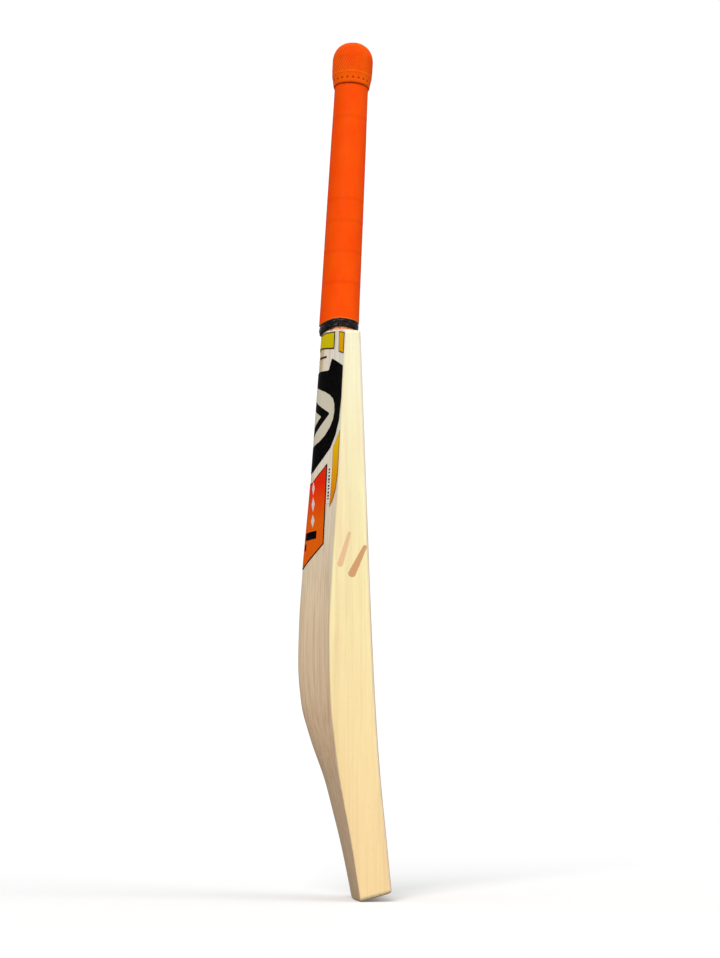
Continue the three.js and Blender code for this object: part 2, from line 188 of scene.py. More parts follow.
def outline(z):
    if z < TOE_CORNER:
        return HALF - TOE_CORNER + math.sqrt(TOE_CORNER**2 - (TOE_CORNER - z) ** 2)
    return shoulder_outline(up_shoulder(z))


def end_slant(y, z):
    """The toe is cut at a slant, and the land at the top falls away towards the spine."""
    toe_back = face_line(0) + TOE_EDGE
    low = clamp(1 - z / TOE_SLANT_HEIGHT) ** 2
    high = clamp(1 - (LENGTH - z) / (3 * SHOULDER_DROP)) ** 2
    back = clamp((y - HANDLE_FOOT + 4) / (SHOULDER_SPINE - HANDLE_FOOT), 0, 1.2)
    return TOE_RISE * low * (toe_back - y) / TOE_EDGE - high * (LAND_FALL + LAND_DROP * back**1.5)


print("deepest at the swell:", round(back_y(0, 0.385 * LENGTH) - face_y(0, 0.385 * LENGTH), 1), "mm")

# %% [markdown]
# ## Sections and stations
# A loft needs level sections with the same number of points, stacked at many heights.
# The stations crowd together at the toe, where the corners are small, and at the shoulders.

# %% Sections
def arc(centre, radius, start, end, steps):
    angles = [mix(start, end, i / steps) for i in range(steps + 1)]
    return [(centre[0] + radius * math.sin(a), centre[1] - radius * math.cos(a)) for a in angles]


def section(z, face_steps=14, back_steps=26):
    """One level section as (x, y, z), counter-clockwise seen from above."""
    width = outline(z)
    lift = TOE_ROUND - math.sqrt(TOE_ROUND**2 - (TOE_ROUND - z) ** 2) if z < TOE_ROUND else 0
    corner = mix(FACE_CORNER, NECK_CORNER, up_shoulder(z))
    flat = width - corner
    front = [
        (flat * i / face_steps, face_y(flat * i / face_steps, z) + lift)
        for i in range(-face_steps, face_steps + 1)
    ]
    corner_y = face_y(width, z) + corner + lift
    side = arc((flat, corner_y), corner, 0, math.pi / 2, 7)[1:]

    def back(x):
        return x, back_y(x, z) - lift * (1 - 0.6 * abs(x) / width)

    first = (width, back(width)[1] - BACK_CORNER)
    peak = back(width)
    last = back(width - BACK_CORNER)
    side.append((width, mix(side[-1][1], first[1], 0.5)))
    for i in range(5):
        u = i / 4
        side.append(tuple(
            (1 - u) ** 2 * first[k] + 2 * u * (1 - u) * peak[k] + u * u * last[k] for k in (0, 1)
        ))
    reach = width - 2 * BACK_CORNER
    shares = [i / back_steps for i in range(-back_steps, back_steps + 1)]
    rear = [back(reach * math.copysign(abs(s) ** 1.3, s)) for s in reversed(shares)]
    mirrored = [(-x, y) for x, y in reversed(side)]
    return [(x, y, z + end_slant(y, z)) for x, y in front + side + rear + mirrored]


def stations():
    toe = [TOE_ROUND * (1 - math.cos(math.pi / 2 * i / 8)) for i in range(9)]
    toe += [mix(TOE_ROUND, TOE_CORNER, i / 8) for i in range(1, 9)]
    plain = [mix(TOE_CORNER, LENGTH - SHOULDER_DROP, i / 200) for i in range(1, 201)]
    top = [LENGTH - SHOULDER_DROP * (1 - i / 28) for i in range(1, 29)]
    return toe + plain + top


print(len(stations()), "stations of", len(section(100)), "points each")

# %% [markdown]
# ## From numbers to a mesh
# Most pieces here are grids of quads; the labels are triangles. One helper turns points and faces
# into a mesh, marks the real corners sharp and smooths the rest. A loft's ends could be single
# large polygons, but those shade badly, so they are filled with rings that shrink to the middle.

# %% Mesh helpers
def new_piece(name, points, faces, sharp_angle=35.0):
    mesh = bpy.data.meshes.new(name)
    mesh.from_pydata([tuple(p) for p in points], [], faces)
    mesh.validate()
    for polygon in mesh.polygons:
        polygon.use_smooth = True
    mesh.set_sharp_from_angle(angle=math.radians(sharp_angle))
    piece = bpy.data.objects.new(name, mesh)
    bpy.context.scene.collection.objects.link(piece)
    return piece


def grid_faces(rows, columns, wrap_rows=False):
    """Quads between rows of equal length; every row is a closed loop."""
    faces = []
    for r in range(rows if wrap_rows else rows - 1):
        for c in range(columns):
            a = r * columns + c
            b = r * columns + (c + 1) % columns
            shift = ((r + 1) % rows) * columns - r * columns
            faces.append((a, b, b + shift, a + shift))
    return faces


def end_fill(points, faces, ring, steps, height_of, upwards):
    """Closes a loft's end with rings that shrink to its middle, so the end shades evenly."""
    centre_x = 0.0
    centre_y = sum(points[i][1] for i in ring) / len(ring)
    count = len(ring)
    previous = list(ring)
    for step in range(1, steps):
        share = step / steps
        current = []
        for i in ring:
            x = mix(points[i][0], centre_x, share)
            y = mix(points[i][1], centre_y, share)
            current.append(len(points))
            points.append((x, y, height_of(x, y)))
        for k in range(count):
            n = (k + 1) % count
            quad = (previous[k], previous[n], current[n], current[k])
            faces.append(quad if upwards else quad[::-1])
        previous = current
    centre = len(points)
    points.append((centre_x, centre_y, height_of(centre_x, centre_y)))
    for k in range(count):
        triangle = (previous[k], previous[(k + 1) % count], centre)
        faces.append(triangle if upwards else triangle[::-1])


print("3 rows of 4 points make", len(grid_faces(3, 4)), "quads")

# %% [markdown]
# ## The loft and its place in the frame
# The stacked sections become one closed mesh. The frame has its origin under the middle of the whole
# bat, while these measures start a few millimetres behind the face at the shoulders. The low corner
# of the blade's box gives the small shift between the two. The low corner is used because the slot
# for the handle cuts the top away.

# %% Loft and offset
def blade_loft():
    rings = [section(z) for z in stations()]
    count = len(rings[0])
    points = [p for ring in rings for p in ring]
    faces = grid_faces(len(rings), count)
    end_fill(points, faces, range(count), 6, lambda x, y: end_slant(y, 0), False)
    top = range(len(rings) * count - count, len(rings) * count)
    end_fill(points, faces, top, 8, lambda x, y: LENGTH + end_slant(y, LENGTH), True)
    return points, faces


blade_points, blade_faces = blade_loft()
blade_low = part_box("blade")[0] / MM
own_low = Vector(min(p[k] for p in blade_points) for k in range(3))
offset = Vector((0, blade_low.y - own_low.y, blade_low.z - own_low.z))


def to_frame(point):
    return (Vector(point) + offset) * MM


print("bat measures move by", [round(c, 2) for c in offset], "mm into the frame")

# %% [markdown]
# ## The camera
# It stands low, beside one edge of the blade and a little behind it, and looks up the bat.
# A long lens from 1.6 m away keeps the blade from looking bent by perspective. Its place is given
# in the bat's own measures, so it keeps its view of the bat wherever the frame puts the origin.

# %% Camera
CAMERA_DISTANCE, CAMERA_TURN, CAMERA_HEIGHT = 1610, math.radians(4.5), 84
LENS = 63.16

camera_data = bpy.data.cameras.new("camera")
camera_data.lens = LENS
camera_data.sensor_width = 36
camera = bpy.data.objects.new("camera", camera_data)
camera.location = to_frame((
    -CAMERA_DISTANCE * math.cos(CAMERA_TURN), CAMERA_DISTANCE * math.sin(CAMERA_TURN), CAMERA_HEIGHT,
))
aim = to_frame((0, -8.3, 398.5))
camera.rotation_euler = (aim - camera.location).to_track_quat("-Z", "Y").to_euler()
bpy.context.scene.collection.objects.link(camera)
bpy.context.scene.camera = camera
print("camera at", [round(c, 3) for c in camera.location])

# %% [markdown]
# ## The blade and its splice
# The handle is let into the blade with a V-joint, so the blade has a V-shaped slot from face to back.
# The slot is cut with a boolean, because a saw cuts a real one the same way: straight through.

# %% Blade
SPLICE_LENGTH, SPLICE_WIDTH, SPLICE_TIP, GLUE = 190, 33.976, 3, 0.12


def splice_cutter():
    slope = (SPLICE_WIDTH - SPLICE_TIP) / 2 / SPLICE_LENGTH
    low, high = LENGTH - SPLICE_LENGTH - GLUE, LENGTH + 30

    def half(z):
        return SPLICE_TIP / 2 + (z - (LENGTH - SPLICE_LENGTH)) * slope + GLUE

    corners = [(-half(low), low), (half(low), low), (half(high), high), (-half(high), high)]
    points = [to_frame((x, y, z)) for y in (-120, 160) for x, z in corners]
    faces = [(0, 1, 2, 3), (7, 6, 5, 4), (0, 4, 5, 1), (1, 5, 6, 2), (2, 6, 7, 3), (3, 7, 4, 0)]
    return new_piece("splice_cutter", points, faces)


blade = new_piece("willow_blade", [to_frame(p) for p in blade_points], blade_faces, 50)
cutter = splice_cutter()
cut = blade.modifiers.new("splice", "BOOLEAN")
cut.operation = "DIFFERENCE"
cut.solver = "EXACT"
cut.object = cutter
bpy.context.view_layer.update()
cut_mesh = bpy.data.meshes.new_from_object(blade.evaluated_get(bpy.context.evaluated_depsgraph_get()))
blade.modifiers.clear()
blade.data = cut_mesh
bpy.data.objects.remove(cutter)
cut_mesh.set_sharp_from_angle(angle=math.radians(50))
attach(blade, "root")
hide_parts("blade")
print("blade:", len(cut_mesh.polygons), "faces")

# %% [markdown]
# ## Turned pieces on the leaning handle
# Grip, twine, collar and cap are all turned shapes, squeezed a little to an oval and leaned forward.
# One helper sweeps a profile of (radius, height) round the axis and lets a function push each point
# in or out, which is how ridges, dimples and wrinkles become real geometry. How far each point was
# pushed is kept with the mesh, so that a finish can paint shade into its grooves and pits.

# %% Turning helper
CANE_LENGTH, CANE_LOW, CANE_HIGH, OVAL = 298, 32.8, 26.4, 0.92
cane_shape = smooth([(0, 0), (0.1, 0.17), (0.45, 0.48), (0.66, 0.69), (0.81, 0.88), (1, 1)])
handle_place = Matrix.Translation((0, HANDLE_FOOT, LENGTH)) @ Matrix.Rotation(HANDLE_LEAN, 4, "X")


def cane_radius(z):
    return mix(CANE_LOW, CANE_HIGH, cane_shape(z / CANE_LENGTH)) / 2


def turned(name, profile, segments, push=None, closed=True, oval=OVAL, sharp_angle=60.0):
    """profile is (radius, height); push(turn, index, radius, height) returns the moved pair."""
    points, sunk = [], []
    for index, (radius, height) in enumerate(profile):
        for s in range(segments):
            turn = 2 * math.pi * s / segments
            r, h = push(turn, index, radius, height) if push else (radius, height)
            sunk.append(math.hypot(r - radius, h - height))
            local = Vector((r * math.sin(turn) * oval, -r * math.cos(turn), h))
            points.append(to_frame(handle_place @ local))
    faces = grid_faces(len(profile), segments, wrap_rows=closed)
    piece = new_piece(name, points, faces, sharp_angle)
    piece.data.attributes.new("sunk", "FLOAT", "POINT").data.foreach_set("value", sunk)
    return piece


def spread(points, spacing):
    """The same path with points no further apart than spacing."""
    path = []
    for a, b in zip(points, points[1:]):
        steps = max(1, math.ceil(math.dist(a, b) / spacing))
        path += [(mix(a[0], b[0], i / steps), mix(a[1], b[1], i / steps)) for i in range(steps)]
    return path + [points[-1]]


def back_share(turn, radius, width):
    """How far round to the back a point is: 0 on the face side, 1 at the very back."""
    return max(0.0, -radius * math.cos(turn) / width)


print("cane is", round(2 * cane_radius(0), 1), "mm deep at the shoulders")

# %% [markdown]
# ## The grip
# A rubber grip is a stretched tube. It is smooth here, with faint rings where it was rolled on,
# and its lower end is a clean cut that hangs lower at the back. The rings are shallow grooves.

# %% Grip
TWINE_WALL, GRIP_WALL, GRIP_GAP = 1.0, 2.0, 0.3
GRIP_START, GRIP_END, GRIP_DIP = 9.3, 279.5, 5
GRIP_INSIDE = GRIP_GAP + TWINE_WALL + GRIP_GAP
GRIP_OUTSIDE = GRIP_INSIDE + GRIP_WALL
COLLAR_WALL = 2.8
GRIP_RINGS = [46.5, 79, 111, 134, 222]
GRIP_SEGMENTS = 96


def grip_outer(z):
    radius = cane_radius(z) + GRIP_OUTSIDE
    for ring in GRIP_RINGS:
        radius -= 0.05 * math.exp(-(((z - ring) / 1.1) ** 2))
        radius += 0.04 * math.exp(-(((z - ring - 2.6) / 1.8) ** 2))
    return radius


def grip_profile():
    heights = [mix(GRIP_START + 0.7, GRIP_END - 0.7, i / 340) for i in range(341)]
    outer = [(cane_radius(GRIP_START) + GRIP_OUTSIDE - 0.7, GRIP_START)]
    outer += [(cane_radius(GRIP_START) + GRIP_OUTSIDE - 0.2, GRIP_START + 0.2)]
    outer += [(grip_outer(z), z) for z in heights]
    outer += [(cane_radius(GRIP_END) + GRIP_OUTSIDE - 0.7, GRIP_END)]
    down = [mix(GRIP_END, GRIP_START, i / 12) for i in range(13)]
    inner = [(cane_radius(z) + GRIP_INSIDE, z) for z in down]
    return outer + inner


def grip_push(turn, index, radius, height):
    near = clamp(1 - (height - GRIP_START) / 26)
    back = back_share(turn, radius, cane_radius(0) + COLLAR_WALL)
    ripple = 0.05 * noise.noise(Vector((math.sin(turn) * 2, math.cos(turn) * 2, height / 14)))
    return radius + ripple, height - GRIP_DIP * near * back**1.5


grip = turned("rubber_grip", grip_profile(), GRIP_SEGMENTS, grip_push)
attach(grip, "root")
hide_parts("grip")
print("grip:", len(grip.data.polygons), "faces")

# %% [markdown]
# ## The twine under the grip
# Waxed thread is wound round the cane in close turns. Nobody sees it while the grip is on,
# but it is what the grip sits on, so it is a real helix of rounded turns and not a plain sleeve.

# %% Twine
TWINE_START, TWINE_PITCH = 14, 1.6


def twine_binding():
    low, high = TWINE_START, CANE_LENGTH - 1
    turns = int((high - low) / TWINE_PITCH) - 1
    per_turn, around = 36, 5
    points = []
    count = turns * per_turn + 1
    for i in range(count):
        turn = 2 * math.pi * i / per_turn
        height = low + TWINE_PITCH / 2 + TWINE_PITCH * i / per_turn
        for k in range(around):
            angle = 2 * math.pi * k / around
            middle = cane_radius(height) + GRIP_GAP + TWINE_WALL / 2
            r = middle + 0.48 * math.cos(angle)
            h = height + 0.74 * math.sin(angle)
            local = Vector((r * math.sin(turn) * OVAL, -r * math.cos(turn), h))
            points.append(to_frame(handle_place @ local))
    faces = []
    for i in range(count - 1):
        for k in range(around):
            n = (k + 1) % around
            faces.append((i * around + k, i * around + n, (i + 1) * around + n, (i + 1) * around + k))
    faces.append(tuple(range(around))[::-1])
    faces.append(tuple(range((count - 1) * around, count * around)))
    return new_piece("wound_twine", points, faces, 80)


twine = twine_binding()
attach(twine, "root")
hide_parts("twine_binding")
print("twine:", len(twine.data.polygons), "faces")

# %% [markdown]
# ## The tape collar
# Stretchy black tape is wound over the joint between grip and shoulders.
# Its turns overlap at a slant and it wrinkles as it shrinks, so the ring gets slanting folds
# of uneven depth, made from a few sine waves and some noise. Its lower edge hangs low at the back
# and is tucked up towards the face side.

# %% Collar
COLLAR_START, COLLAR_DIP, COLLAR_TUCK = -0.2, 5.6, 1.5
COLLAR_TOP = GRIP_START - GRIP_GAP
collar_inner = cane_radius(0) + 0.3
collar_outer = collar_inner + COLLAR_WALL


def collar_push(turn, index, radius, height):
    near = clamp(1 - (height - COLLAR_TOP) / 26)
    back = back_share(turn, radius, cane_radius(0) + COLLAR_WALL)
    if radius > collar_inner + 1:
        place = Vector((math.sin(turn) * 3, math.cos(turn) * 3, height * 0.35))
        fold = math.sin(turn * 9 + height * 0.9 + 2.5 * noise.noise(place))
        fine = math.sin(turn * 23 - height * 1.3 + 4 * noise.noise(place * 1.7))
        radius += 0.28 * fold * abs(fold) + 0.10 * fine - 0.3
        lap = (height + turn * 0.9) % 3.1
        radius += 0.22 * (1 - lap / 3.1) - 0.1
    tuck = COLLAR_TUCK * (1 - back) * (COLLAR_TOP - height) / (COLLAR_TOP - COLLAR_START)
    return radius, height + tuck - COLLAR_DIP * near * back**1.5


collar_profile = spread([
    (collar_inner, COLLAR_START),
    (collar_outer - 1.2, COLLAR_START),
    (collar_outer - 0.2, COLLAR_START + 1.2),
    (collar_outer, (COLLAR_START + COLLAR_TOP) / 2),
    (collar_outer - 0.3, COLLAR_TOP - 0.8),
    (collar_outer - 1.1, COLLAR_TOP),
    (collar_inner, COLLAR_TOP),
    (collar_inner, COLLAR_START),
], 0.3)[:-1]
collar = turned("wound_tape_collar", collar_profile, 320, collar_push, sharp_angle=75)
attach(collar, "root")
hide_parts("tape_collar")
print("collar:", len(collar.data.polygons), "faces")

# %% [markdown]
# ## The end cap
# The cap is moulded rubber: a smooth rim, a band with a row of small pits, and a dome with a fine
# raised mesh. The mesh is two families of slanting ridges. They are cut into the geometry,
# so that the dome's outline and highlights break up as they do on the real one.

# %% Cap
CAP_COVER, CAP_CROWN, CAP_DIAMETER, CAP_LIP = 40.2, 8.2, 41.4, 0.6
CAP_SKIRT, CAP_DOME = 10, 28
CAP_OVAL = 0.97
CAP_START = CANE_LENGTH - CAP_COVER
CAP_HEIGHT = CAP_COVER + CAP_CROWN
CAP_RIM = cane_radius(CAP_START) + GRIP_OUTSIDE + GRIP_GAP
print("cap is", round(CAP_HEIGHT, 1), "mm tall and", CAP_DIAMETER, "mm across")

# %% [markdown]
# ## The cap's profile
# A mould for a cap like this is turned on a lathe, so its section is all there is to draw: lip, band,
# a soft step, and a dome that stays full at the shoulder. Powers of sine and cosine a little under
# one give that fullness. The inside follows the cane, the twine and the end of the grip.

# %% Cap profile
def cap_profile():
    wide = CAP_DIAMETER / 2
    skirt_top = CAP_START + CAP_SKIRT
    outer = [
        (CAP_RIM, CAP_START),
        (CAP_RIM + CAP_LIP, CAP_START + 0.2),
        (CAP_RIM + CAP_LIP + 0.5, CAP_START + 1.3),
        (CAP_RIM + CAP_LIP + 0.7, CAP_START + 2.6),
        (wide - 1.35, skirt_top - 2.6),
        (wide - 1.1, skirt_top - 1.5),
        (wide - 1.05, skirt_top - 0.6),
        (wide - 0.6, skirt_top + 0.6),
        (wide - 0.4, skirt_top + 2.5),
        (wide - 0.1, skirt_top + 9),
    ]
    steps = 120
    for i in range(steps):
        angle = math.pi / 2 * i / steps
        height = CAP_START + CAP_DOME + (CAP_HEIGHT - CAP_DOME) * math.sin(angle) ** 0.9
        outer.append((wide * math.cos(angle) ** 0.85, height))
    outer.append((0.05, CAP_START + CAP_HEIGHT))
    over_twine = GRIP_GAP + TWINE_WALL + GRIP_GAP
    inner = [
        (0.05, CANE_LENGTH + 0.3),
        (cane_radius(CANE_LENGTH) + over_twine, CANE_LENGTH + 0.3),
        (cane_radius(GRIP_END) + over_twine, GRIP_END + 0.3),
        (cane_radius(GRIP_END) + GRIP_OUTSIDE + 0.3, GRIP_END + 0.3),
        (CAP_RIM, CAP_START),
    ]
    return spread(inner, 3)[:-1] + spread(outer, 0.42)


print("cap profile:", len(cap_profile()), "points")

# %% [markdown]
# ## The cap's mesh and pits
# The raised mesh could be a bump map, but then its outline would stay smooth. Here each point of the
# dome is sunk between two families of slanting ridges, one of them stronger, and the pits are small
# flat-bottomed dents spaced evenly round the band.

# %% Cap relief
PIT_COUNT, PIT_HEIGHT, PIT_RADIUS, PIT_DEPTH = 20, 5.0, 1.05, 0.9
RIDGE_COUNT, RIDGE_SLANT, RIDGE_DEPTH = 50, 0.8, 0.45


def cap_push(turn, index, radius, height):
    above = height - CAP_START
    skin = clamp((radius - CAP_RIM - 0.3) / 0.3)
    if height > CAP_START + CAP_HEIGHT - 0.6 * CAP_CROWN:
        skin = 1.0
    if above > CAP_SKIRT + 1.5 and skin > 0:
        fade = clamp((above - CAP_SKIRT - 1.5) / 1.5) * clamp((radius - 3.5) / 3)
        one = abs(math.sin(RIDGE_COUNT / 2 * turn + above * RIDGE_SLANT))
        two = abs(math.sin(RIDGE_COUNT / 2 * turn - above * RIDGE_SLANT))
        ridge = max(one**3, 0.4 * two**6)
        sink = RIDGE_DEPTH * (1 - ridge) * fade * skin
        lean = clamp((above - CAP_DOME) / (CAP_HEIGHT - CAP_DOME))
        return radius - sink * math.sqrt(1 - lean * lean), height - sink * lean
    if 2 < above < CAP_SKIRT and skin > 0:
        pitch = 2 * math.pi / PIT_COUNT
        across = ((turn + pitch / 2) % pitch - pitch / 2) * radius
        distance = math.hypot(across, above - PIT_HEIGHT)
        return radius - PIT_DEPTH * math.exp(-((distance / PIT_RADIUS) ** 4)), height
    return radius, height


cap = turned("moulded_end_cap", cap_profile(), 448, cap_push, closed=False, oval=CAP_OVAL, sharp_angle=70)
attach(cap, "root")
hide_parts("end_cap")
print("cap:", len(cap.data.polygons), "faces")

# %% [markdown]
# ## Labels
# The labels are printed film. Each is cut as a flat outline first, with its border and printed
# shapes as lines inside it, then triangulated with those lines kept. Every point is then laid on
# the back of the blade and lifted by a film's thickness, so the colours meet on exact lines.

# %% Label helpers
LABEL_EDGE = HALF - 1.2
FILM_BASE, FILM_TOP = 0.03, 0.42


def on_back(x, below, lift):
    """A point on the blade's back at a true height below the shoulders, lifted square to the surface."""
    z = LENGTH - below
    for _ in range(4):
        z = LENGTH - below - end_slant(back_y(x, z), z)
    step = 0.4
    slope_x = (back_y(x + step, z) - back_y(x - step, z)) / (2 * step)
    slope_z = (back_y(x, z + step) - back_y(x, z - step)) / (2 * step)
    normal = Vector((-slope_x, 1, -slope_z)).normalized()
    y = back_y(x, z)
    return to_frame(Vector((x, y, LENGTH - below)) + normal * lift)


print("labels reach", round(LABEL_EDGE, 1), "mm to each side of the ridge")

# %% [markdown]
# ## Working on flat outlines
# A label is designed flat, so it is also cut flat. These helpers tell whether a point is inside an
# outline, shrink an outline for a printed border, round its corners and add points along its edges.

# %% Outline helpers
def inside(polygon, x, y):
    hit = False
    for (x0, y0), (x1, y1) in zip(polygon, polygon[1:] + polygon[:1]):
        if (y0 > y) != (y1 > y) and x < x0 + (y - y0) * (x1 - x0) / (y1 - y0):
            hit = not hit
    return hit


def area(polygon):
    return sum(x0 * y1 - x1 * y0 for (x0, y0), (x1, y1) in zip(polygon, polygon[1:] + polygon[:1])) / 2


def inset(polygon, distance):
    """The polygon moved inwards by distance, corner by corner."""
    sign = 1 if area(polygon) > 0 else -1
    moved = []
    count = len(polygon)
    for i in range(count):
        before, here, after = (Vector(polygon[(i + k) % count]) for k in (-1, 0, 1))
        first, second = (here - before).normalized(), (after - here).normalized()
        normal = Vector((-first.y - second.y, first.x + second.x)) * sign
        length = max(normal.length, 1e-6)
        spread_out = min(2.5, 2 / length)
        moved.append(tuple(here + normal / length * distance * spread_out))
    return moved


def rounded(polygon, radius, steps=4):
    """Cuts each corner back and bridges it with a short curve."""
    path = []
    count = len(polygon)
    for i in range(count):
        before, here, after = (Vector(polygon[(i + k) % count]) for k in (-1, 0, 1))
        into = min(radius, (before - here).length / 2.2, (after - here).length / 2.2)
        start = here + (before - here).normalized() * into
        end = here + (after - here).normalized() * into
        for s in range(steps + 1):
            u = s / steps
            path.append(tuple(start * (1 - u) ** 2 + here * 2 * u * (1 - u) + end * u * u))
    return path


def dense(polygon, spacing):
    return spread(list(polygon) + [polygon[0]], spacing)[:-1]


square = [(0, 0), (10, 0), (10, 10), (0, 10)]
print("a 10 mm square inset by 1 mm has an area of", round(area(inset(square, 1))), "mm2")

# %% [markdown]
# ## Cutting one film
# A constrained triangulation fills the outline with even triangles and keeps every printed line as
# an edge, so each triangle holds one ink. The sheet is then given a back and a rim, because a film
# has a thickness, and all its points are laid on the blade. An image texture would be simpler, but
# its edges blur close up and it can't catch the light along the film's edge.

# %% Film cutter
def film(name, node, outline_points, shapes=(), hole=None, spacing=2.2):
    """A label piece. shapes are (polygon, material index); the last one that holds a face wins."""
    loops = [dense(outline_points, spacing)]
    loops += [dense(polygon, spacing) for polygon, _ in shapes]
    if hole:
        loops.append(dense(hole, spacing))
    flat, edges = [], []
    for loop in loops:
        start = len(flat)
        flat += [Vector(p) for p in loop]
        edges += [(start + i, start + (i + 1) % len(loop)) for i in range(len(loop))]
    xs, ys = [p[0] for p in outline_points], [p[1] for p in outline_points]
    columns = int((max(xs) - min(xs)) / spacing)
    rows = int((max(ys) - min(ys)) / spacing)
    for c in range(1, columns):
        for r in range(1, rows):
            x = mix(min(xs), max(xs), (c + 0.5 * (r % 2)) / columns)
            y = mix(min(ys), max(ys), r / rows)
            if inside(outline_points, x, y):
                flat.append(Vector((x, y)))
    verts, _, triangles, *_ = geometry.delaunay_2d_cdt(flat, edges, [], 0, 1e-4)
    kept, kinds = [], []
    for triangle in triangles:
        x = sum(verts[i][0] for i in triangle) / 3
        y = sum(verts[i][1] for i in triangle) / 3
        if not inside(outline_points, x, y) or (hole and inside(hole, x, y)):
            continue
        kind = 0
        for polygon, index in shapes:
            if inside(polygon, x, y):
                kind = index
        kept.append(triangle)
        kinds.append(kind)
    used = sorted({i for t in kept for i in t})
    place = {i: k for k, i in enumerate(used)}
    top = [on_back(verts[i][0], verts[i][1], FILM_TOP) for i in used]
    base = [on_back(verts[i][0], verts[i][1], FILM_BASE) for i in used]
    size = len(used)
    faces, face_kinds, rim = [], [], {}
    for triangle, kind in zip(kept, kinds):
        a, b, c = (place[i] for i in triangle)
        normal = (top[b] - top[a]).cross(top[c] - top[a])
        if normal.y < 0:
            b, c = c, b
        faces.append((a, b, c))
        faces.append((c + size, b + size, a + size))
        face_kinds += [kind, kind]
        for edge in ((a, b), (b, c), (c, a)):
            if edge[::-1] in rim:
                del rim[edge[::-1]]
            else:
                rim[edge] = kind
    for (a, b), kind in rim.items():
        faces.append((b, a, a + size, b + size))
        face_kinds.append(kind)
    piece = new_piece(name, top + base, faces, 40)
    piece.data.polygons.foreach_set("material_index", face_kinds)
    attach(piece, "root")
    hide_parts(node)
    return piece


def across(points):
    """Outline points as (share of the half back, height below the shoulders), in millimetres."""
    return [(share * LABEL_EDGE, below) for share, below in points]


def both_sides(points):
    return points + [(-x, below) for x, below in reversed(points)]


def flipped(points):
    return [(-x, below) for x, below in points]


print("film is", FILM_TOP, "mm proud of the willow")

# %% [markdown]
# ## The top label
# The printed shapes are plain ones and carry no letters. The first label is an outlined block that
# wraps over the ridge just under the collar. Its border is the first ink, left showing round a
# smaller outline of the second.

# %% Top label
pieces = {}


def lozenge(x, below, half_x, half_z, lean=0.0):
    corners = [(0, -half_z), (half_x, 0), (0, half_z), (-half_x, 0)]
    return [(x + dx + lean * dz, below + dz) for dx, dz in corners]


def bar(x0, x1, top, bottom, lean=0.0):
    return [(x0 + lean, top), (x1 + lean, top), (x1, bottom), (x0, bottom)]


top_outline = both_sides(across([
    (0.13, 6.6), (0.352, 6.6), (0.484, 8.1), (0.653, 9.7), (0.657, 27.2), (0.364, 23.4), (0.13, 20.7),
]))
pieces["top_label"] = film(
    "top_label_film", "top_label", top_outline, [(inset(top_outline, 1.1), 1)]
)

print("top label:", len(pieces["top_label"].data.polygons), "faces")

# %% [markdown]
# ## The badge and its window
# The badge is a black shield with a rounded window cut right through it. The window's own film fills
# the hole, with a few tenths of a millimetre left between, and carries a bold lozenge outline.

# %% Badge
WINDOW = [
    (0, 57.5), (0.415, 67.1), (0.594, 72.5), (0.7, 77.4), (0.755, 83.4), (0.764, 91.1), (0.736, 97.9),
    (0.643, 105.2), (0.49, 111.7), (0.328, 115.8), (0, 119.4),
]
WINDOW_MIDDLE = 88.5


def window_outline(grow):
    scale = 1 + grow / 26
    half = [(x * scale, WINDOW_MIDDLE + (below - WINDOW_MIDDLE) * scale) for x, below in across(WINDOW)]
    return half + [(-x, below) for x, below in reversed(half[1:-1])]


badge_outline = both_sides(across([
    (0.174, 44.1), (0.518, 47), (0.601, 36.1), (0.995, 48.4), (0.995, 79.8), (0.943, 100.8),
    (0.832, 114.7), (0.688, 125.5), (0.395, 136.2), (0.153, 144.1),
]))
pieces["badge_ring"] = film(
    "badge_film", "badge_ring", rounded(badge_outline, 1.5), hole=window_outline(0.15)
)
motif = lozenge(0, 91, 33, 20)
motif_window = lozenge(0, 91, 18, 10)
pieces["badge_centre"] = film(
    "badge_window_film", "badge_centre", window_outline(-0.15),
    [(rounded(motif, 3), 1), (rounded(motif_window, 2), 0)],
)

print("badge:", len(pieces["badge_ring"].data.polygons), "faces")

# %% [markdown]
# ## The spine panel
# The panel folds over the ridge below the badge. On each side it carries a row of pale lozenges and
# two plain black bars, all of them outlines inside the one sheet.

# %% Spine panel
panel_outline = both_sides(across([
    (0.161, 154.9), (0.613, 140.2), (0.634, 174.7), (0.664, 218.4), (0.09, 238.5),
]))
panel_shapes = [(inset(panel_outline, 1.2), 1)]
for side in (-1, 1):
    for x, below, half_x, half_z in ((11.6, 161, 2.4, 7), (13.6, 177, 2.8, 7.5), (15.4, 193.5, 3, 6.5)):
        panel_shapes.append((lozenge(side * x, below, half_x, half_z, side * 0.12), 2))
    for x0, x1, top, bottom in ((4, 23.2, 203.8, 211.7), (4, 7.6, 214.8, 221.7)):
        block = [(side * x, below) for x, below in bar(x0, x1, top, bottom)]
        panel_shapes.append((rounded(block, 1.2), 3))
pieces["spine_panel"] = film("spine_panel_film", "spine_panel", panel_outline, panel_shapes)

print("panel:", len(pieces["spine_panel"].data.polygons), "faces")

# %% [markdown]
# ## The small side labels
# Strip, flash, dash and tick strip come in pairs. Each outline is drawn once, for one side, and
# flipped for the other, so the two sides can't drift apart.

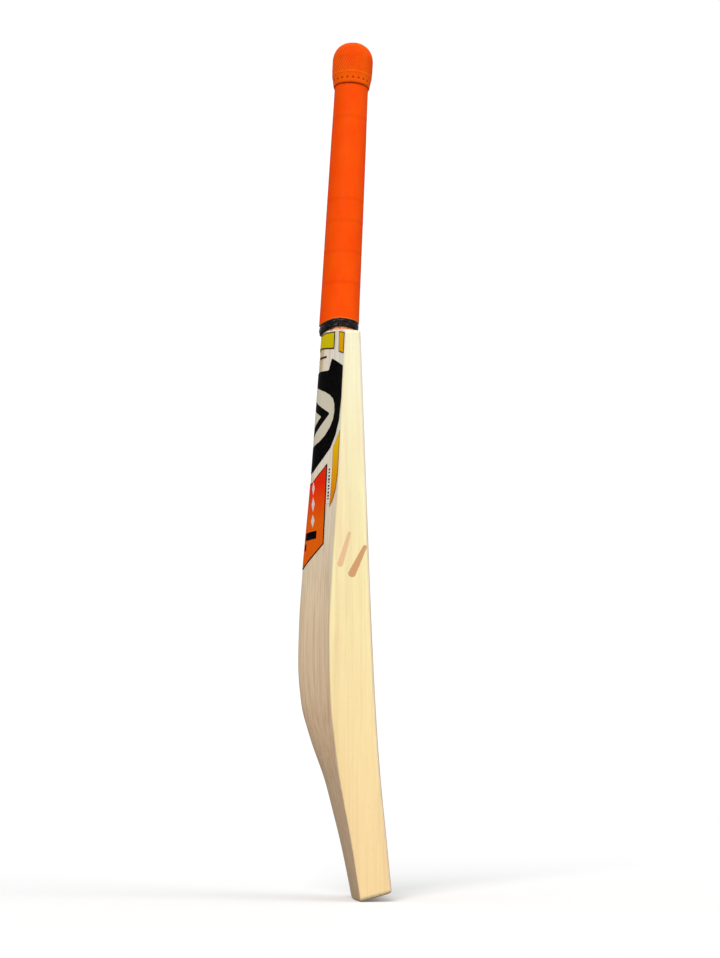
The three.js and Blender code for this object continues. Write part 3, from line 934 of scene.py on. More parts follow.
# %% Side labels
strip_outline = across([(0.79, 11.4), (0.995, 15.4), (0.995, 36.2), (0.812, 32.2)])
flash_outline = across([
    (1, 111.8), (1, 149.8), (0.974, 159.8), (0.941, 168.3), (0.862, 177.8), (0.769, 183.7),
    (0.779, 167.8), (0.784, 149.8), (0.776, 126.8),
])
dash_outline = across([(0.112, 28.9), (0.405, 30.9), (0.405, 32.7), (0.111, 30.7)])
tick_outline = across([(0.664, 143.7), (0.738, 143.8), (0.75, 179.8), (0.676, 179.7)])
ticks = []
for i, length in enumerate([1.9, 1.4, 1.9, 2.3, 1.4, 1.9, 1.4, 2.3, 1.9, 1.4]):
    below = 146 + i * 3.2
    left = mix(0.664, 0.676, (below - 143.7) / 36) * LABEL_EDGE + 0.9
    ticks.append((bar(left - 0.3, left + 2.3, below, below + length), 1))

for side, turn in (("left", flipped), ("right", list)):
    pieces[f"side_strip_{side}"] = film(
        f"side_strip_film_{side}", f"side_strip_{side}", turn(strip_outline),
        [(inset(turn(strip_outline), 0.8), 1)], spacing=1.6,
    )
    pieces[f"flash_{side}"] = film(
        f"flash_film_{side}", f"flash_{side}", turn(flash_outline),
        [(inset(turn(flash_outline), 0.5), 1)], spacing=1.8,
    )
    pieces[f"dash_{side}"] = film(
        f"dash_film_{side}", f"dash_{side}", turn(dash_outline), spacing=1.2
    )
    pieces[f"tick_strip_{side}"] = film(
        f"tick_film_{side}", f"tick_strip_{side}", turn(tick_outline),
        [(turn(polygon), kind) for polygon, kind in ticks], spacing=1.5,
    )
print(len(pieces), "label pieces,", sum(len(p.data.polygons) for p in pieces.values()), "faces")

# %% [markdown]
# ## Node helpers
# Materials are node trees. A tiny helper adds a node, sets its inputs and links what is passed in,
# so that each finish reads like a recipe.

# %% Node helpers
def srgb(red, green, blue):
    """A colour given as it looks on screen, 0 to 255, turned into the linear values nodes use."""
    def linear(value):
        value /= 255
        return value / 12.92 if value <= 0.04045 else ((value + 0.055) / 1.055) ** 2.4

    return linear(red), linear(green), linear(blue), 1.0


def node(tree, kind, inputs=None, **settings):
    made = tree.nodes.new(kind)
    for key, value in settings.items():
        setattr(made, key, value)
    for key, value in (inputs or {}).items():
        socket = made.inputs[key]
        if isinstance(value, bpy.types.NodeSocket):
            tree.links.new(value, socket)
        else:
            socket.default_value = value
    return made


def maths(tree, operation, first, second=0.0, third=None):
    inputs = {0: first, 1: second}
    if third is not None:
        inputs[2] = third
    return node(tree, "ShaderNodeMath", inputs, operation=operation).outputs[0]


def blend_colour(tree, share, first, second, kind="MIX"):
    made = node(tree, "ShaderNodeMix", {0: share, 6: first, 7: second}, data_type="RGBA", blend_type=kind)
    return made.outputs[2]


def ramp(tree, value, stops, interpolation="LINEAR"):
    made = node(tree, "ShaderNodeValToRGB", {0: value})
    made.color_ramp.interpolation = interpolation
    elements = made.color_ramp.elements
    while len(elements) < len(stops):
        elements.new(0.5)
    for element, (place, colour) in zip(elements, stops):
        element.position = place
        element.color = colour if len(colour) == 4 else (*colour, 1.0)
    return made.outputs[0]


def grey(value):
    return value, value, value, 1.0


def span(tree, value, low, high, to_low=0.0, to_high=1.0):
    made = node(tree, "ShaderNodeMapRange", {0: value, 1: low, 2: high, 3: to_low, 4: to_high})
    made.clamp = True
    return made.outputs[0]


print("cream on screen is", [round(c, 2) for c in srgb(253, 250, 205)[:3]], "in linear light")

# %% [markdown]
# ## Groups and materials
# A node group is a reusable effect with named sockets. Groups here put out masks and plain values
# only, and the shader stays in the material. Every material works in the bat's own
# millimetres, so a number in a recipe is a size on the bat.

# %% Groups and materials
TO_MM = 1 / MM


def new_group(name, inputs, outputs):
    """An empty node group with named sockets, and its input and output nodes."""
    group = bpy.data.node_groups.new(name, "ShaderNodeTree")
    for label, kind, default in inputs:
        socket = group.interface.new_socket(label, in_out="INPUT", socket_type=kind)
        if default is not None:
            socket.default_value = default
    for label, kind in outputs:
        group.interface.new_socket(label, in_out="OUTPUT", socket_type=kind)
    return group, group.nodes.new("NodeGroupInput"), group.nodes.new("NodeGroupOutput")


def use_group(tree, group, inputs=None):
    made = node(tree, "ShaderNodeGroup", node_tree=group)
    for key, value in (inputs or {}).items():
        if isinstance(value, bpy.types.NodeSocket):
            tree.links.new(value, made.inputs[key])
        else:
            made.inputs[key].default_value = value
    return made.outputs


def new_material(name):
    """A material with a bare Principled shader, and the point in the bat's own millimetres."""
    material = bpy.data.materials.new(name)
    material.use_nodes = True
    tree = material.node_tree
    shader = tree.nodes["Principled BSDF"]
    place = node(tree, "ShaderNodeTexCoord").outputs["Object"]
    scaled = node(tree, "ShaderNodeVectorMath", {0: place, 1: (TO_MM, TO_MM, TO_MM)}, operation="MULTIPLY")
    return material, tree, shader, scaled.outputs[0]


def bump(tree, height, strength, distance_mm, normal=None):
    inputs = {"Height": height, "Strength": strength, "Distance": distance_mm * MM}
    if normal is not None:
        inputs["Normal"] = normal
    return node(tree, "ShaderNodeBump", inputs).outputs[0]


print("object coordinates are multiplied by", round(TO_MM), "to give millimetres")

# %% [markdown]
# ## Wood grain, once for willow and cane
# Grain is drawn in the wood's own space. Growth rings are slabs that run the length of the piece,
# so a saw of a stretched coordinate gives straight lines on the face and broad soft bands on the
# edges. Fine fibres are noise stretched hard along the length. Both woods use the same group.

# %% Grain group
grain_group, enter, leave = new_group(
    "wood_grain",
    [
        ("Place", "NodeSocketVector", None),
        ("Ring spacing", "NodeSocketFloat", 9.0),
        ("Ring tilt", "NodeSocketFloat", 0.2),
        ("Wander", "NodeSocketFloat", 2.0),
        ("Fibre scale", "NodeSocketFloat", 1.0),
    ],
    [
        ("Ring", "NodeSocketFloat"),
        ("Fibre", "NodeSocketFloat"),
        ("Pore", "NodeSocketFloat"),
        ("Cloud", "NodeSocketFloat"),
        ("Streak", "NodeSocketFloat"),
    ],
)


def stretched_noise(tree, place, scale, detail, roughness=0.55, distortion=0.0):
    moved = node(tree, "ShaderNodeVectorMath", {0: place, 1: scale}, operation="MULTIPLY").outputs[0]
    inputs = {"Vector": moved, "Scale": 1.0, "Detail": detail}
    inputs.update({"Roughness": roughness, "Distortion": distortion})
    return node(tree, "ShaderNodeTexNoise", inputs).outputs["Fac"]


def build_grain(tree, source, target):
    place = source.outputs["Place"]
    parts = node(tree, "ShaderNodeSeparateXYZ", {0: place}).outputs
    slow = stretched_noise(tree, place, (0.022, 0.03, 0.0035), 2.0)
    drift = maths(tree, "MULTIPLY", maths(tree, "SUBTRACT", slow, 0.5), source.outputs["Wander"])
    tilted = maths(tree, "MULTIPLY_ADD", parts[1], source.outputs["Ring tilt"], parts[0])
    phase = maths(tree, "DIVIDE", tilted, source.outputs["Ring spacing"])
    phase = maths(tree, "ADD", phase, drift)
    saw = maths(tree, "FRACT", phase)
    late = maths(tree, "POWER", saw, 5.0)
    rest = maths(tree, "MULTIPLY", maths(tree, "SUBTRACT", 1.0, saw), 9.0)
    early = maths(tree, "SMOOTH_MIN", rest, 1.0, 0.3)
    tree.links.new(maths(tree, "MULTIPLY", late, early), target.inputs["Ring"])
    fibre_place = node(
        tree, "ShaderNodeVectorMath", {0: place, 3: source.outputs["Fibre scale"]}, operation="SCALE"
    ).outputs[0]
    fibre = stretched_noise(tree, fibre_place, (1.6, 1.6, 0.03), 5.0, 0.62, 0.15)
    tree.links.new(fibre, target.inputs["Fibre"])
    pore = stretched_noise(tree, fibre_place, (4.5, 4.5, 0.16), 2.0, 0.5)
    tree.links.new(span(tree, pore, 0.62, 0.72), target.inputs["Pore"])
    cloud = stretched_noise(tree, place, (0.05, 0.05, 0.011), 3.0, 0.5)
    tree.links.new(cloud, target.inputs["Cloud"])
    streak = stretched_noise(tree, fibre_place, (0.55, 0.4, 0.005), 3.0, 0.6)
    tree.links.new(streak, target.inputs["Streak"])


build_grain(grain_group, enter, leave)
print("grain group:", len(grain_group.nodes), "nodes")

# %% [markdown]
# ## A brush stroke as a mask
# Two plain strokes are stained on the edge of the blade. Each is a capsule: the distance from a
# point to a line, with a width that thins towards the ends and an edge broken up by noise.

# %% Stroke group
stroke_group, enter, leave = new_group(
    "brush_stroke",
    [
        ("Place", "NodeSocketVector", None),
        ("Start", "NodeSocketVector", None),
        ("End", "NodeSocketVector", None),
        ("Width", "NodeSocketFloat", 3.0),
    ],
    [("Mask", "NodeSocketFloat")],
)


def build_stroke(tree, source, target):
    place, start, end = (source.outputs[k] for k in ("Place", "Start", "End"))
    line = node(tree, "ShaderNodeVectorMath", {0: end, 1: start}, operation="SUBTRACT").outputs[0]
    reach = node(tree, "ShaderNodeVectorMath", {0: place, 1: start}, operation="SUBTRACT").outputs[0]
    dot = node(tree, "ShaderNodeVectorMath", {0: reach, 1: line}, operation="DOT_PRODUCT").outputs["Value"]
    whole = node(tree, "ShaderNodeVectorMath", {0: line, 1: line}, operation="DOT_PRODUCT").outputs["Value"]
    share = node(tree, "ShaderNodeClamp", {0: maths(tree, "DIVIDE", dot, whole)}).outputs[0]
    foot = node(tree, "ShaderNodeVectorMath", {0: line, 3: share}, operation="SCALE").outputs[0]
    gap = node(tree, "ShaderNodeVectorMath", {0: reach, 1: foot}, operation="DISTANCE").outputs["Value"]
    rough = node(tree, "ShaderNodeTexNoise", {"Vector": place, "Scale": 0.7, "Detail": 3.0}).outputs["Fac"]
    gap = maths(tree, "ADD", gap, maths(tree, "MULTIPLY", maths(tree, "SUBTRACT", rough, 0.5), 1.1))
    taper = maths(tree, "SUBTRACT", 1.0, maths(tree, "MULTIPLY", share, 0.45))
    half = maths(tree, "MULTIPLY", source.outputs["Width"], taper)
    edge = maths(tree, "SUBTRACT", half, gap)
    tree.links.new(span(tree, edge, -0.15, 0.25), target.inputs["Mask"])


build_stroke(stroke_group, enter, leave)
print("stroke group:", len(stroke_group.nodes), "nodes")

# %% [markdown]
# ## Willow
# English willow is almost white when fresh and a little redder towards the toe. The sawn edges get a
# cream ramp up the height and the planed back a pinker one, which paints in the tint of its shade; both
# ramps also carry painted shade, darker towards the toe. A painted highlight runs as a pale line along
# the corner between them, and the wood under the collar gets a painted orange reflection of the grip.

# %% Willow
def flattened(tree, place):
    """The place with its X dropped, so that a stroke is drawn through one edge only."""
    parts = node(tree, "ShaderNodeSeparateXYZ", {0: place}).outputs
    return node(tree, "ShaderNodeCombineXYZ", {0: 0.0, 1: parts[1], 2: parts[2]}).outputs[0]


def stroke_point(y, below):
    moved = Vector((0, y, LENGTH - below)) + offset
    return 0.0, moved.y, moved.z


print("the first stroke starts at", [round(v, 1) for v in stroke_point(14.7, 240.0)], "mm")

# %% [markdown]
# ## The willow finish
# Colours are laid on as washes, broad ones first: height, edge, rings, clouds, streaks, fibre, pores.
# The strokes are mixed in last, as a stain. The wood is sanded and waxed, so its gloss is low and its
# relief is a tenth of a millimetre or so.

# %% Willow finish
def willow_material():
    material, tree, shader, place = new_material("waxed_willow")
    grain = use_group(tree, grain_group, {
        "Place": place, "Ring spacing": 10.5, "Ring tilt": 0.24, "Wander": 1.7, "Fibre scale": 1.0,
    })
    parts = node(tree, "ShaderNodeSeparateXYZ", {0: place}).outputs
    height = span(tree, parts[2], 0.0, LENGTH)
    # Painted light and shade: both ramps darken towards the toe, and the back's pinker ramp paints in the
    # tint of its shade.
    sawn_tone_painted_light = ramp(tree, height, [
        (0.0, srgb(252, 220, 162)),
        (0.3, srgb(253, 230, 170)),
        (0.6, srgb(254, 243, 186)),
        (1.0, srgb(254, 251, 216)),
    ])
    planed_tone_painted_shade = ramp(tree, height, [
        (0.0, srgb(230, 200, 162)),
        (0.3, srgb(236, 206, 170)),
        (0.55, srgb(244, 226, 194)),
        (0.75, srgb(252, 244, 226)),
        (1.0, srgb(254, 250, 236)),
    ])
    at_edge = span(tree, maths(tree, "ABSOLUTE", parts[0]), HALF - 0.9, HALF - 0.3)
    # Painted highlight: a pale line along the corner between back and edge.
    corner_painted_highlight = span(tree, maths(tree, "ABSOLUTE", parts[0]), HALF - 2.2, HALF - 1.2, 0.0, 0.55)
    planed_tone_painted_shade = blend_colour(tree, corner_painted_highlight, planed_tone_painted_shade, srgb(255, 246, 214))
    tone = blend_colour(tree, at_edge, planed_tone_painted_shade, sawn_tone_painted_light)
    line_depth = span(tree, at_edge, 0.0, 1.0, 0.45, 0.25)
    tone = blend_colour(tree, maths(tree, "MULTIPLY", grain["Ring"], line_depth), tone, srgb(206, 150, 112))
    cloud = span(tree, grain["Cloud"], 0.42, 0.72, 0.0, 0.3)
    tone = blend_colour(tree, cloud, tone, srgb(250, 208, 162))
    streak_depth = maths(
        tree, "MULTIPLY", span(tree, at_edge, 0.0, 1.0, 0.55, 0.16), span(tree, height, 0.45, 0.7, 1.0, 0.35)
    )
    streak = maths(tree, "MULTIPLY", span(tree, grain["Streak"], 0.46, 0.66), streak_depth)
    tone = blend_colour(tree, streak, tone, srgb(200, 156, 118))
    fibre = span(tree, grain["Fibre"], 0.35, 0.75, 0.0, 0.16)
    tone = blend_colour(tree, fibre, tone, srgb(214, 172, 126))
    tone = blend_colour(tree, maths(tree, "MULTIPLY", grain["Pore"], 0.2), tone, srgb(168, 122, 84))
    # Painted reflection: orange light off the grip on the wood just under the collar.
    grip_painted_reflection = span(tree, parts[2], LENGTH + offset.z - 4.5, LENGTH + offset.z - 1.6, 0.0, 0.6)
    tone = blend_colour(tree, grip_painted_reflection, tone, srgb(252, 168, 112))
    edge_only = span(tree, parts[0], -HALF + 1.5, -HALF + 0.5)
    flat_place = flattened(tree, place)
    for start, end, width, colour in (
        ((14.7, 240.0), (6.2, 211.0), 2.9, srgb(232, 184, 142)),
        ((3.7, 249.0), (-8.3, 224.0), 3.6, srgb(205, 140, 92)),
    ):
        mask = use_group(tree, stroke_group, {
            "Place": flat_place, "Start": stroke_point(*start), "End": stroke_point(*end), "Width": width,
        })["Mask"]
        mask = maths(tree, "MULTIPLY", maths(tree, "MULTIPLY", mask, edge_only), 0.85)
        tone = blend_colour(tree, mask, tone, colour)
    tree.links.new(tone, shader.inputs["Base Color"])
    rough = maths(tree, "ADD", span(tree, grain["Fibre"], 0.3, 0.8, 0.42, 0.56), maths(
        tree, "MULTIPLY", grain["Pore"], 0.12))
    tree.links.new(rough, shader.inputs["Roughness"])
    relief = maths(tree, "SUBTRACT", grain["Fibre"], maths(tree, "MULTIPLY", grain["Pore"], 0.8))
    tree.links.new(bump(tree, relief, 0.35, 0.12), shader.inputs["Normal"])
    shader.inputs["Specular IOR Level"].default_value = 0.15
    shader.inputs["Coat Weight"].default_value = 0.02
    shader.inputs["Coat Roughness"].default_value = 0.35
    return material


willow = willow_material()
blade.data.materials.clear()
blade.data.materials.append(willow)
print("willow:", len(willow.node_tree.nodes), "nodes")

# %% [markdown]
# ## Cane, rubber inserts and twine
# Cane is darker and coarser than willow, with long bundles of fibre. It shows in the V of the
# splice on the face and back. The inserts between its layers are plain dark rubber. All of them get
# a painted orange reflection of the grip just under the collar.

# %% Cane, inserts, twine
def painted_grip_reflection(tree, place, tone, strength):
    """Painted orange reflection of the grip, laid on whatever shows in the gap just under the collar."""
    height = node(tree, "ShaderNodeSeparateXYZ", {0: place}).outputs[2]
    shoulder = LENGTH + offset.z
    share = span(tree, height, shoulder - 3.5, shoulder - 1.5, 0.0, strength)
    return blend_colour(tree, share, tone, srgb(255, 160, 104))


def cane_material():
    material, tree, shader, place = new_material("sanded_cane")
    grain = use_group(tree, grain_group, {
        "Place": place, "Ring spacing": 2.3, "Ring tilt": 0.5, "Wander": 1.2, "Fibre scale": 1.9,
    })
    tone = ramp(tree, grain["Fibre"], [(0.3, srgb(232, 208, 164)), (0.7, srgb(212, 180, 132))])
    tone = blend_colour(tree, maths(tree, "MULTIPLY", grain["Ring"], 0.4), tone, srgb(184, 142, 92))
    tone = blend_colour(tree, maths(tree, "MULTIPLY", grain["Pore"], 0.4), tone, srgb(134, 98, 62))
    # Painted reflection of the orange grip just under the collar.
    tree.links.new(painted_grip_reflection(tree, place, tone, 0.7), shader.inputs["Base Color"])
    tree.links.new(span(tree, grain["Fibre"], 0.3, 0.8, 0.45, 0.65), shader.inputs["Roughness"])
    relief = maths(tree, "SUBTRACT", grain["Fibre"], grain["Pore"])
    tree.links.new(bump(tree, relief, 0.5, 0.15), shader.inputs["Normal"])
    return material


def speckled_material(name, dark, light, roughness, scale, relief_mm):
    """A matt finish with fine mottling: rubber strips and waxed thread."""
    material, tree, shader, place = new_material(name)
    speck = node(tree, "ShaderNodeTexNoise", {"Vector": place, "Scale": scale, "Detail": 4.0}).outputs["Fac"]
    # Painted reflection of the orange grip just under the collar.
    tone = painted_grip_reflection(tree, place, ramp(tree, speck, [(0.35, dark), (0.65, light)]), 0.8)
    tree.links.new(tone, shader.inputs["Base Color"])
    rough = span(tree, speck, 0.3, 0.7, roughness - 0.08, roughness + 0.08)
    tree.links.new(rough, shader.inputs["Roughness"])
    tree.links.new(bump(tree, speck, 0.5, relief_mm), shader.inputs["Normal"])
    return material


cane = cane_material()
insert = speckled_material("insert_rubber", srgb(34, 30, 28), srgb(58, 52, 48), 0.8, 2.0, 0.1)
thread = speckled_material("waxed_thread", srgb(196, 184, 158), srgb(228, 220, 200), 0.7, 1.4, 0.15)
for name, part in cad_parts.items():
    if name.startswith("cane_"):
        part.data.materials.clear()
        part.data.materials.append(cane)
    if name.startswith("rubber_insert"):
        part.data.materials.clear()
        part.data.materials.append(insert)
twine.data.materials.append(thread)
print("cane on", sum(name.startswith("cane_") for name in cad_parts), "strips")

# %% [markdown]
# ## Orange rubber
# The grip and the cap are nearly the same bright orange. The rubber is dull, so its gloss is kept
# low, with faint mottling and a fine grain. One group holds that skin for all three rubbers.

# %% Rubber
def skin_group():
    group, source, target = new_group(
        "rubber_skin",
        [("Place", "NodeSocketVector", None), ("Grain scale", "NodeSocketFloat", 3.0)],
        [("Mottle", "NodeSocketFloat"), ("Grain", "NodeSocketFloat"), ("Smudge", "NodeSocketFloat")],
    )
    place = source.outputs["Place"]
    mottle = stretched_noise(group, place, (0.06, 0.06, 0.035), 3.0)
    fine = node(group, "ShaderNodeTexNoise", {
        "Vector": place, "Scale": source.outputs["Grain scale"], "Detail": 4.0, "Roughness": 0.6,
    }).outputs["Fac"]
    smudge = stretched_noise(group, place, (0.16, 0.16, 0.05), 5.0, 0.6, 0.6)
    for value, label in ((mottle, "Mottle"), (fine, "Grain"), (smudge, "Smudge")):
        group.links.new(value, target.inputs[label])
    return group


rubber_skin = skin_group()
print("rubber skin group:", len(rubber_skin.nodes), "nodes")

# %% [markdown]
# ## The rubber finish
# The rolled rings of the grip get painted shade: the rubber is a little darker at their own heights.
# On the cap, the depth stored with the mesh paints shade into the grooves and, more strongly, the pits.
# The cut end of the grip shows lighter rubber, so its faces get a material of their own.

# %% Rubber finish
def rubber_material(name, deep, bright, roughness, relief_mm, grain_scale, rings=(), groove_depth=0.0):
    material, tree, shader, place = new_material(name)
    skin = use_group(tree, rubber_skin, {"Place": place, "Grain scale": grain_scale})
    tone = blend_colour(tree, span(tree, skin["Mottle"], 0.35, 0.65), deep, bright)
    grain_share = span(tree, skin["Grain"], 0.35, 0.75, 0.0, 0.16)
    tone = blend_colour(tree, grain_share, tone, srgb(206, 40, 2))
    parts = node(tree, "ShaderNodeSeparateXYZ", {0: place}).outputs
    # Painted shade: darker rubber along each rolled ring's groove.
    for ring in rings:
        centre = (Vector(handle_place @ Vector((0, 0, ring))) + offset).z
        distance = maths(tree, "ABSOLUTE", maths(tree, "SUBTRACT", parts[2], centre))
        tone = blend_colour(tree, span(tree, distance, 0.0, 3.0, 0.16, 0.0), tone, srgb(214, 38, 0))
    if groove_depth:
        # Painted shade: the stored depth darkens the cap's grooves and, more strongly, its pits.
        sunk = node(tree, "ShaderNodeAttribute", attribute_name="sunk").outputs["Fac"]
        groove_painted_shade = span(tree, sunk, 0.15, groove_depth, 0.0, 0.6)
        tone = blend_colour(tree, groove_painted_shade, tone, srgb(226, 44, 0))
        pit_painted_shade = span(tree, sunk, groove_depth + 0.05, PIT_DEPTH, 0.0, 0.9)
        tone = blend_colour(tree, pit_painted_shade, tone, srgb(176, 16, 0))
    tree.links.new(tone, shader.inputs["Base Color"])
    tree.links.new(
        span(tree, skin["Smudge"], 0.3, 0.7, roughness - 0.07, roughness + 0.09), shader.inputs["Roughness"]
    )
    tree.links.new(bump(tree, skin["Grain"], 0.45, relief_mm), shader.inputs["Normal"])
    shader.inputs["Specular IOR Level"].default_value = 0.025
    return material


grip_rubber = rubber_material(
    "orange_grip_rubber", srgb(255, 78, 4), srgb(255, 88, 5), 0.5, 0.12, 1.3, GRIP_RINGS
)
cut_rubber = rubber_material("cut_grip_rubber", srgb(255, 140, 62), srgb(255, 164, 92), 0.65, 0.2, 2.0)
cap_rubber = rubber_material(
    "orange_cap_rubber", srgb(255, 88, 6), srgb(255, 104, 9), 0.36, 0.06, 1.8, groove_depth=0.44
)
grip.data.materials.append(grip_rubber)
grip.data.materials.append(cut_rubber)
cap.data.materials.append(cap_rubber)
last_ring = len(grip_profile()) - 1
cut_faces = 0
for polygon in grip.data.polygons:
    if polygon.index // GRIP_SEGMENTS in (0, 1, last_ring):
        polygon.material_index = 1
        cut_faces += 1
print("grip end:", cut_faces, "faces of cut rubber")

# %% [markdown]
# ## Black tape
# The tape is stretched black vinyl. Its paler streaks on a slant are painted highlights, so noise is
# turned by 28 degrees and mixed in as grey. A thin clear coat gives small sharp highlights.

# %% Tape
def tape_material():
    material, tree, shader, place = new_material("black_tape")
    smear = stretched_noise(tree, place, (0.5, 0.5, 1.4), 4.0, 0.6, 0.4)
    slanted = node(tree, "ShaderNodeVectorRotate", {0: place}, rotation_type="X_AXIS")
    slanted.inputs["Angle"].default_value = math.radians(28)
    painted_highlight_streaks = stretched_noise(tree, slanted.outputs[0], (0.5, 0.16, 1.1), 3.0, 0.55, 0.3)
    tone = ramp(tree, smear, [(0.3, srgb(3, 3, 4)), (0.8, srgb(12, 12, 15))])
    # Painted highlights: pale grey streaks on a slant.
    tone = blend_colour(tree, span(tree, painted_highlight_streaks, 0.58, 0.7), tone, srgb(72, 72, 78))
    tree.links.new(tone, shader.inputs["Base Color"])
    tree.links.new(span(tree, smear, 0.3, 0.7, 0.16, 0.34), shader.inputs["Roughness"])
    tree.links.new(bump(tree, smear, 0.4, 0.2), shader.inputs["Normal"])
    shader.inputs["Specular IOR Level"].default_value = 0.12
    shader.inputs["Coat Weight"].default_value = 0.12
    shader.inputs["Coat Roughness"].default_value = 0.1
    return material


collar.data.materials.append(tape_material())
print("collar taped")

# %% [markdown]
# ## Printed film
# Film is thin plastic over wood, so a little of the grain shows through as relief. A shared wear
# group gives all the inks the same faint scratches and handling marks.

# %% Film
def film_wear():
    group, source, target = new_group(
        "film_wear",
        [("Place", "NodeSocketVector", None)],
        [("Scratch", "NodeSocketFloat"), ("Relief", "NodeSocketFloat")],
    )
    place = source.outputs["Place"]
    scratch = stretched_noise(group, place, (2.2, 2.2, 0.18), 4.0, 0.65)
    relief = stretched_noise(group, place, (0.9, 0.9, 0.05), 3.0, 0.5)
    group.links.new(span(group, scratch, 0.55, 0.75), target.inputs["Scratch"])
    group.links.new(relief, target.inputs["Relief"])
    return group


wear_group = film_wear()
print("wear group:", len(wear_group.nodes), "nodes")

# %% [markdown]
# ## One ink
# Each print colour is its own material, and some fade down the bat from one ink to the next. The
# gloss is kept very low: seen at a slant, a glossy film would turn the black ink grey.

# %% Ink finish
def film_material(name, upper, lower, top_below=0.0, bottom_below=1.0, worn=None, roughness=0.3):
    """upper and lower are the ink at two heights below the shoulders."""
    material, tree, shader, place = new_material(name)
    wear = use_group(tree, wear_group, {"Place": place})
    parts = node(tree, "ShaderNodeSeparateXYZ", {0: place}).outputs
    shoulder = LENGTH + offset.z
    share = span(tree, parts[2], shoulder - top_below, shoulder - bottom_below)
    tone = blend_colour(tree, share, upper, lower)
    mottle = span(tree, wear["Relief"], 0.35, 0.7, 0.0, 0.14)
    tone = blend_colour(tree, mottle, tone, worn or lower)
    tone = blend_colour(tree, maths(tree, "MULTIPLY", wear["Scratch"], 0.04), tone, srgb(235, 225, 205))
    tree.links.new(tone, shader.inputs["Base Color"])
    tree.links.new(
        maths(tree, "MULTIPLY_ADD", wear["Scratch"], 0.2, roughness), shader.inputs["Roughness"]
    )
    tree.links.new(bump(tree, wear["Relief"], 0.3, 0.1), shader.inputs["Normal"])
    shader.inputs["Specular IOR Level"].default_value = 0.004
    return material


print("inks fade by the height below the shoulders, at", round(LENGTH + offset.z, 1), "mm up")

# %% [markdown]
# ## All the inks
# The list under each label gives the ink for each kind of printed shape, in the order the film
# cutter numbered them: the sheet first, then what is printed inside it.

# %% Inks
olive = film_material("olive_film", srgb(226, 206, 4), srgb(220, 198, 2), 8, 28, srgb(196, 176, 4))
amber = film_material("amber_film", srgb(246, 190, 6), srgb(240, 172, 4), 10, 38, srgb(226, 156, 6))
flash_ink = film_material("flash_film", srgb(252, 206, 10), srgb(238, 128, 6), 118, 180, srgb(226, 130, 8))
ink_brown = film_material("brown_ink", srgb(44, 30, 12), srgb(58, 38, 14), 8, 40)
ink_rust = film_material("rust_ink", srgb(150, 96, 14), srgb(120, 60, 12), 118, 180)
ink_black = film_material("black_ink", srgb(4, 4, 5), srgb(6, 5, 5), 40, 150, srgb(12, 11, 11))
ink_cream = film_material("cream_ink", srgb(226, 218, 196), srgb(224, 214, 190), 60, 120, srgb(206, 196, 172))
panel_ink = film_material("panel_ink", srgb(246, 40, 8), srgb(240, 102, 8), 158, 196, srgb(232, 60, 8))
ink_pale = film_material("pale_ink", srgb(232, 222, 212), srgb(226, 214, 204), 150, 200, srgb(210, 196, 186))
ink_white = film_material(
    "white_ink", srgb(238, 234, 224), srgb(236, 230, 218), 140, 180, srgb(220, 212, 198)
)

inks = {
    "top_label": [ink_brown, olive],
    "badge_ring": [ink_black],
    "badge_centre": [ink_cream, ink_black],
    "spine_panel": [ink_black, panel_ink, ink_pale, ink_black],
    "side_strip": [ink_brown, amber],
    "flash": [ink_rust, flash_ink],
    "dash": [ink_black],
    "tick_strip": [ink_white, ink_black],
}
for name, piece in pieces.items():
    family = name.removesuffix("_left").removesuffix("_right")
    for ink in inks[family]:
        piece.data.materials.append(ink)
print("inks:", sorted({m.name for row in inks.values() for m in row}))

# %% [markdown]
# ## Floor and light
# The floor is a plain sheet, made as white to the camera as the background behind it. To all other
# rays it is a darker grey, so that it doesn't throw too much light up on the bat.

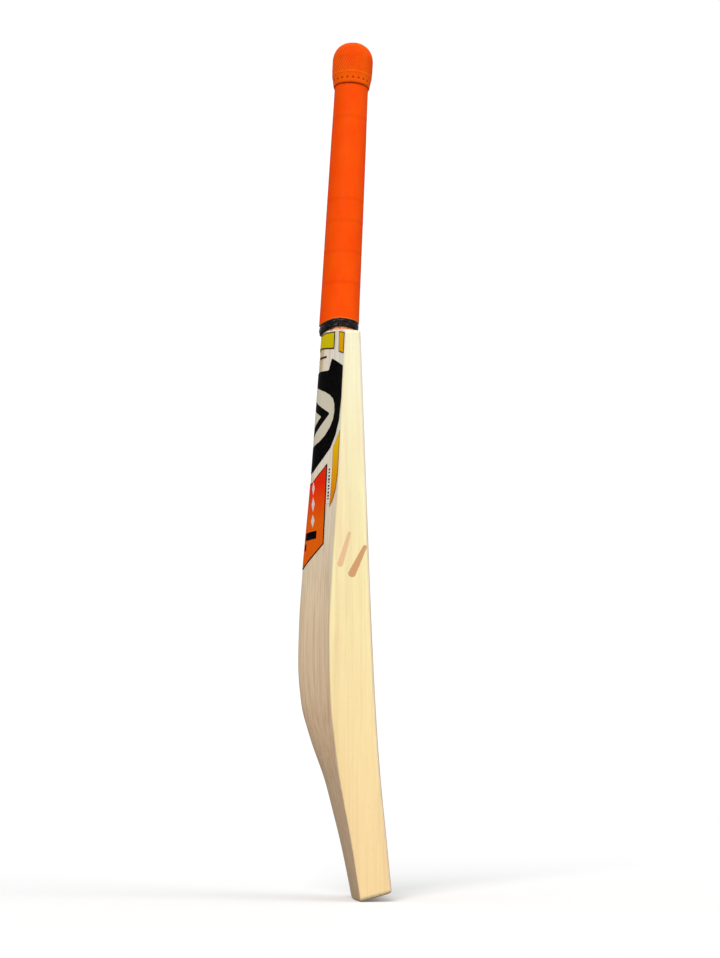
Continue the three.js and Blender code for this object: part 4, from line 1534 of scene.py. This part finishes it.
# %% Floor
floor_mesh = bpy.data.meshes.new("floor")
FLOOR_HALF = 30
floor_corners = [(-FLOOR_HALF, -FLOOR_HALF, 0), (FLOOR_HALF, -FLOOR_HALF, 0)]
floor_corners += [(FLOOR_HALF, FLOOR_HALF, 0), (-FLOOR_HALF, FLOOR_HALF, 0)]
floor_mesh.from_pydata(floor_corners, [], [(0, 1, 2, 3)])
floor = bpy.data.objects.new("floor", floor_mesh)
bpy.context.scene.collection.objects.link(floor)
floor_material, tree, shader, place = new_material("pale_floor")
seen = node(tree, "ShaderNodeLightPath").outputs["Is Camera Ray"]
paper = blend_colour(tree, seen, grey(0.3), grey(1.0))
tree.links.new(paper, shader.inputs["Base Color"])
shader.inputs["Roughness"].default_value = 0.9
shader.inputs["Specular IOR Level"].default_value = 0.1
tree.links.new(maths(tree, "MULTIPLY", seen, 0.1), shader.inputs["Emission Strength"])
shader.inputs["Emission Color"].default_value = grey(1.0)
floor_mesh.materials.append(floor_material)
print("floor is", 2 * FLOOR_HALF, "m across")

# %% [markdown]
# ## Lights
# The key is a soft sun from the camera's side, above and slightly behind the bat, and it brightens
# the edge of the blade. A weaker and softer fill comes from the face side. The background adds a
# weak glow from all round, and only the camera sees it as full white.

# %% Lights
def soft_sun(name, travel, strength, softness):
    """A far, soft light; travel is the direction its light goes."""
    data = bpy.data.lights.new(name, "SUN")
    data.energy = strength
    data.angle = math.radians(softness)
    lamp = bpy.data.objects.new(name, data)
    lamp.rotation_euler = Vector(travel).to_track_quat("-Z", "Y").to_euler()
    bpy.context.scene.collection.objects.link(lamp)


soft_sun("key", (0.80, -0.24, -0.55), 1.8, 24)
soft_sun("fill", (0.55, 0.75, -0.36), 0.9, 50)

world = bpy.data.worlds.new("studio")
bpy.context.scene.world = world
world.use_nodes = True
sky = world.node_tree
backdrop = sky.nodes["Background"]
seen = node(sky, "ShaderNodeLightPath").outputs["Is Camera Ray"]
GLOW_AROUND, GLOW_SEEN = 0.5, 1.05
glow = node(sky, "ShaderNodeMapRange", {0: seen, 3: GLOW_AROUND, 4: GLOW_SEEN}).outputs[0]
sky.links.new(glow, backdrop.inputs["Strength"])
backdrop.inputs["Color"].default_value = (1, 1, 1, 1)
bpy.context.scene.view_settings.view_transform = "Standard"
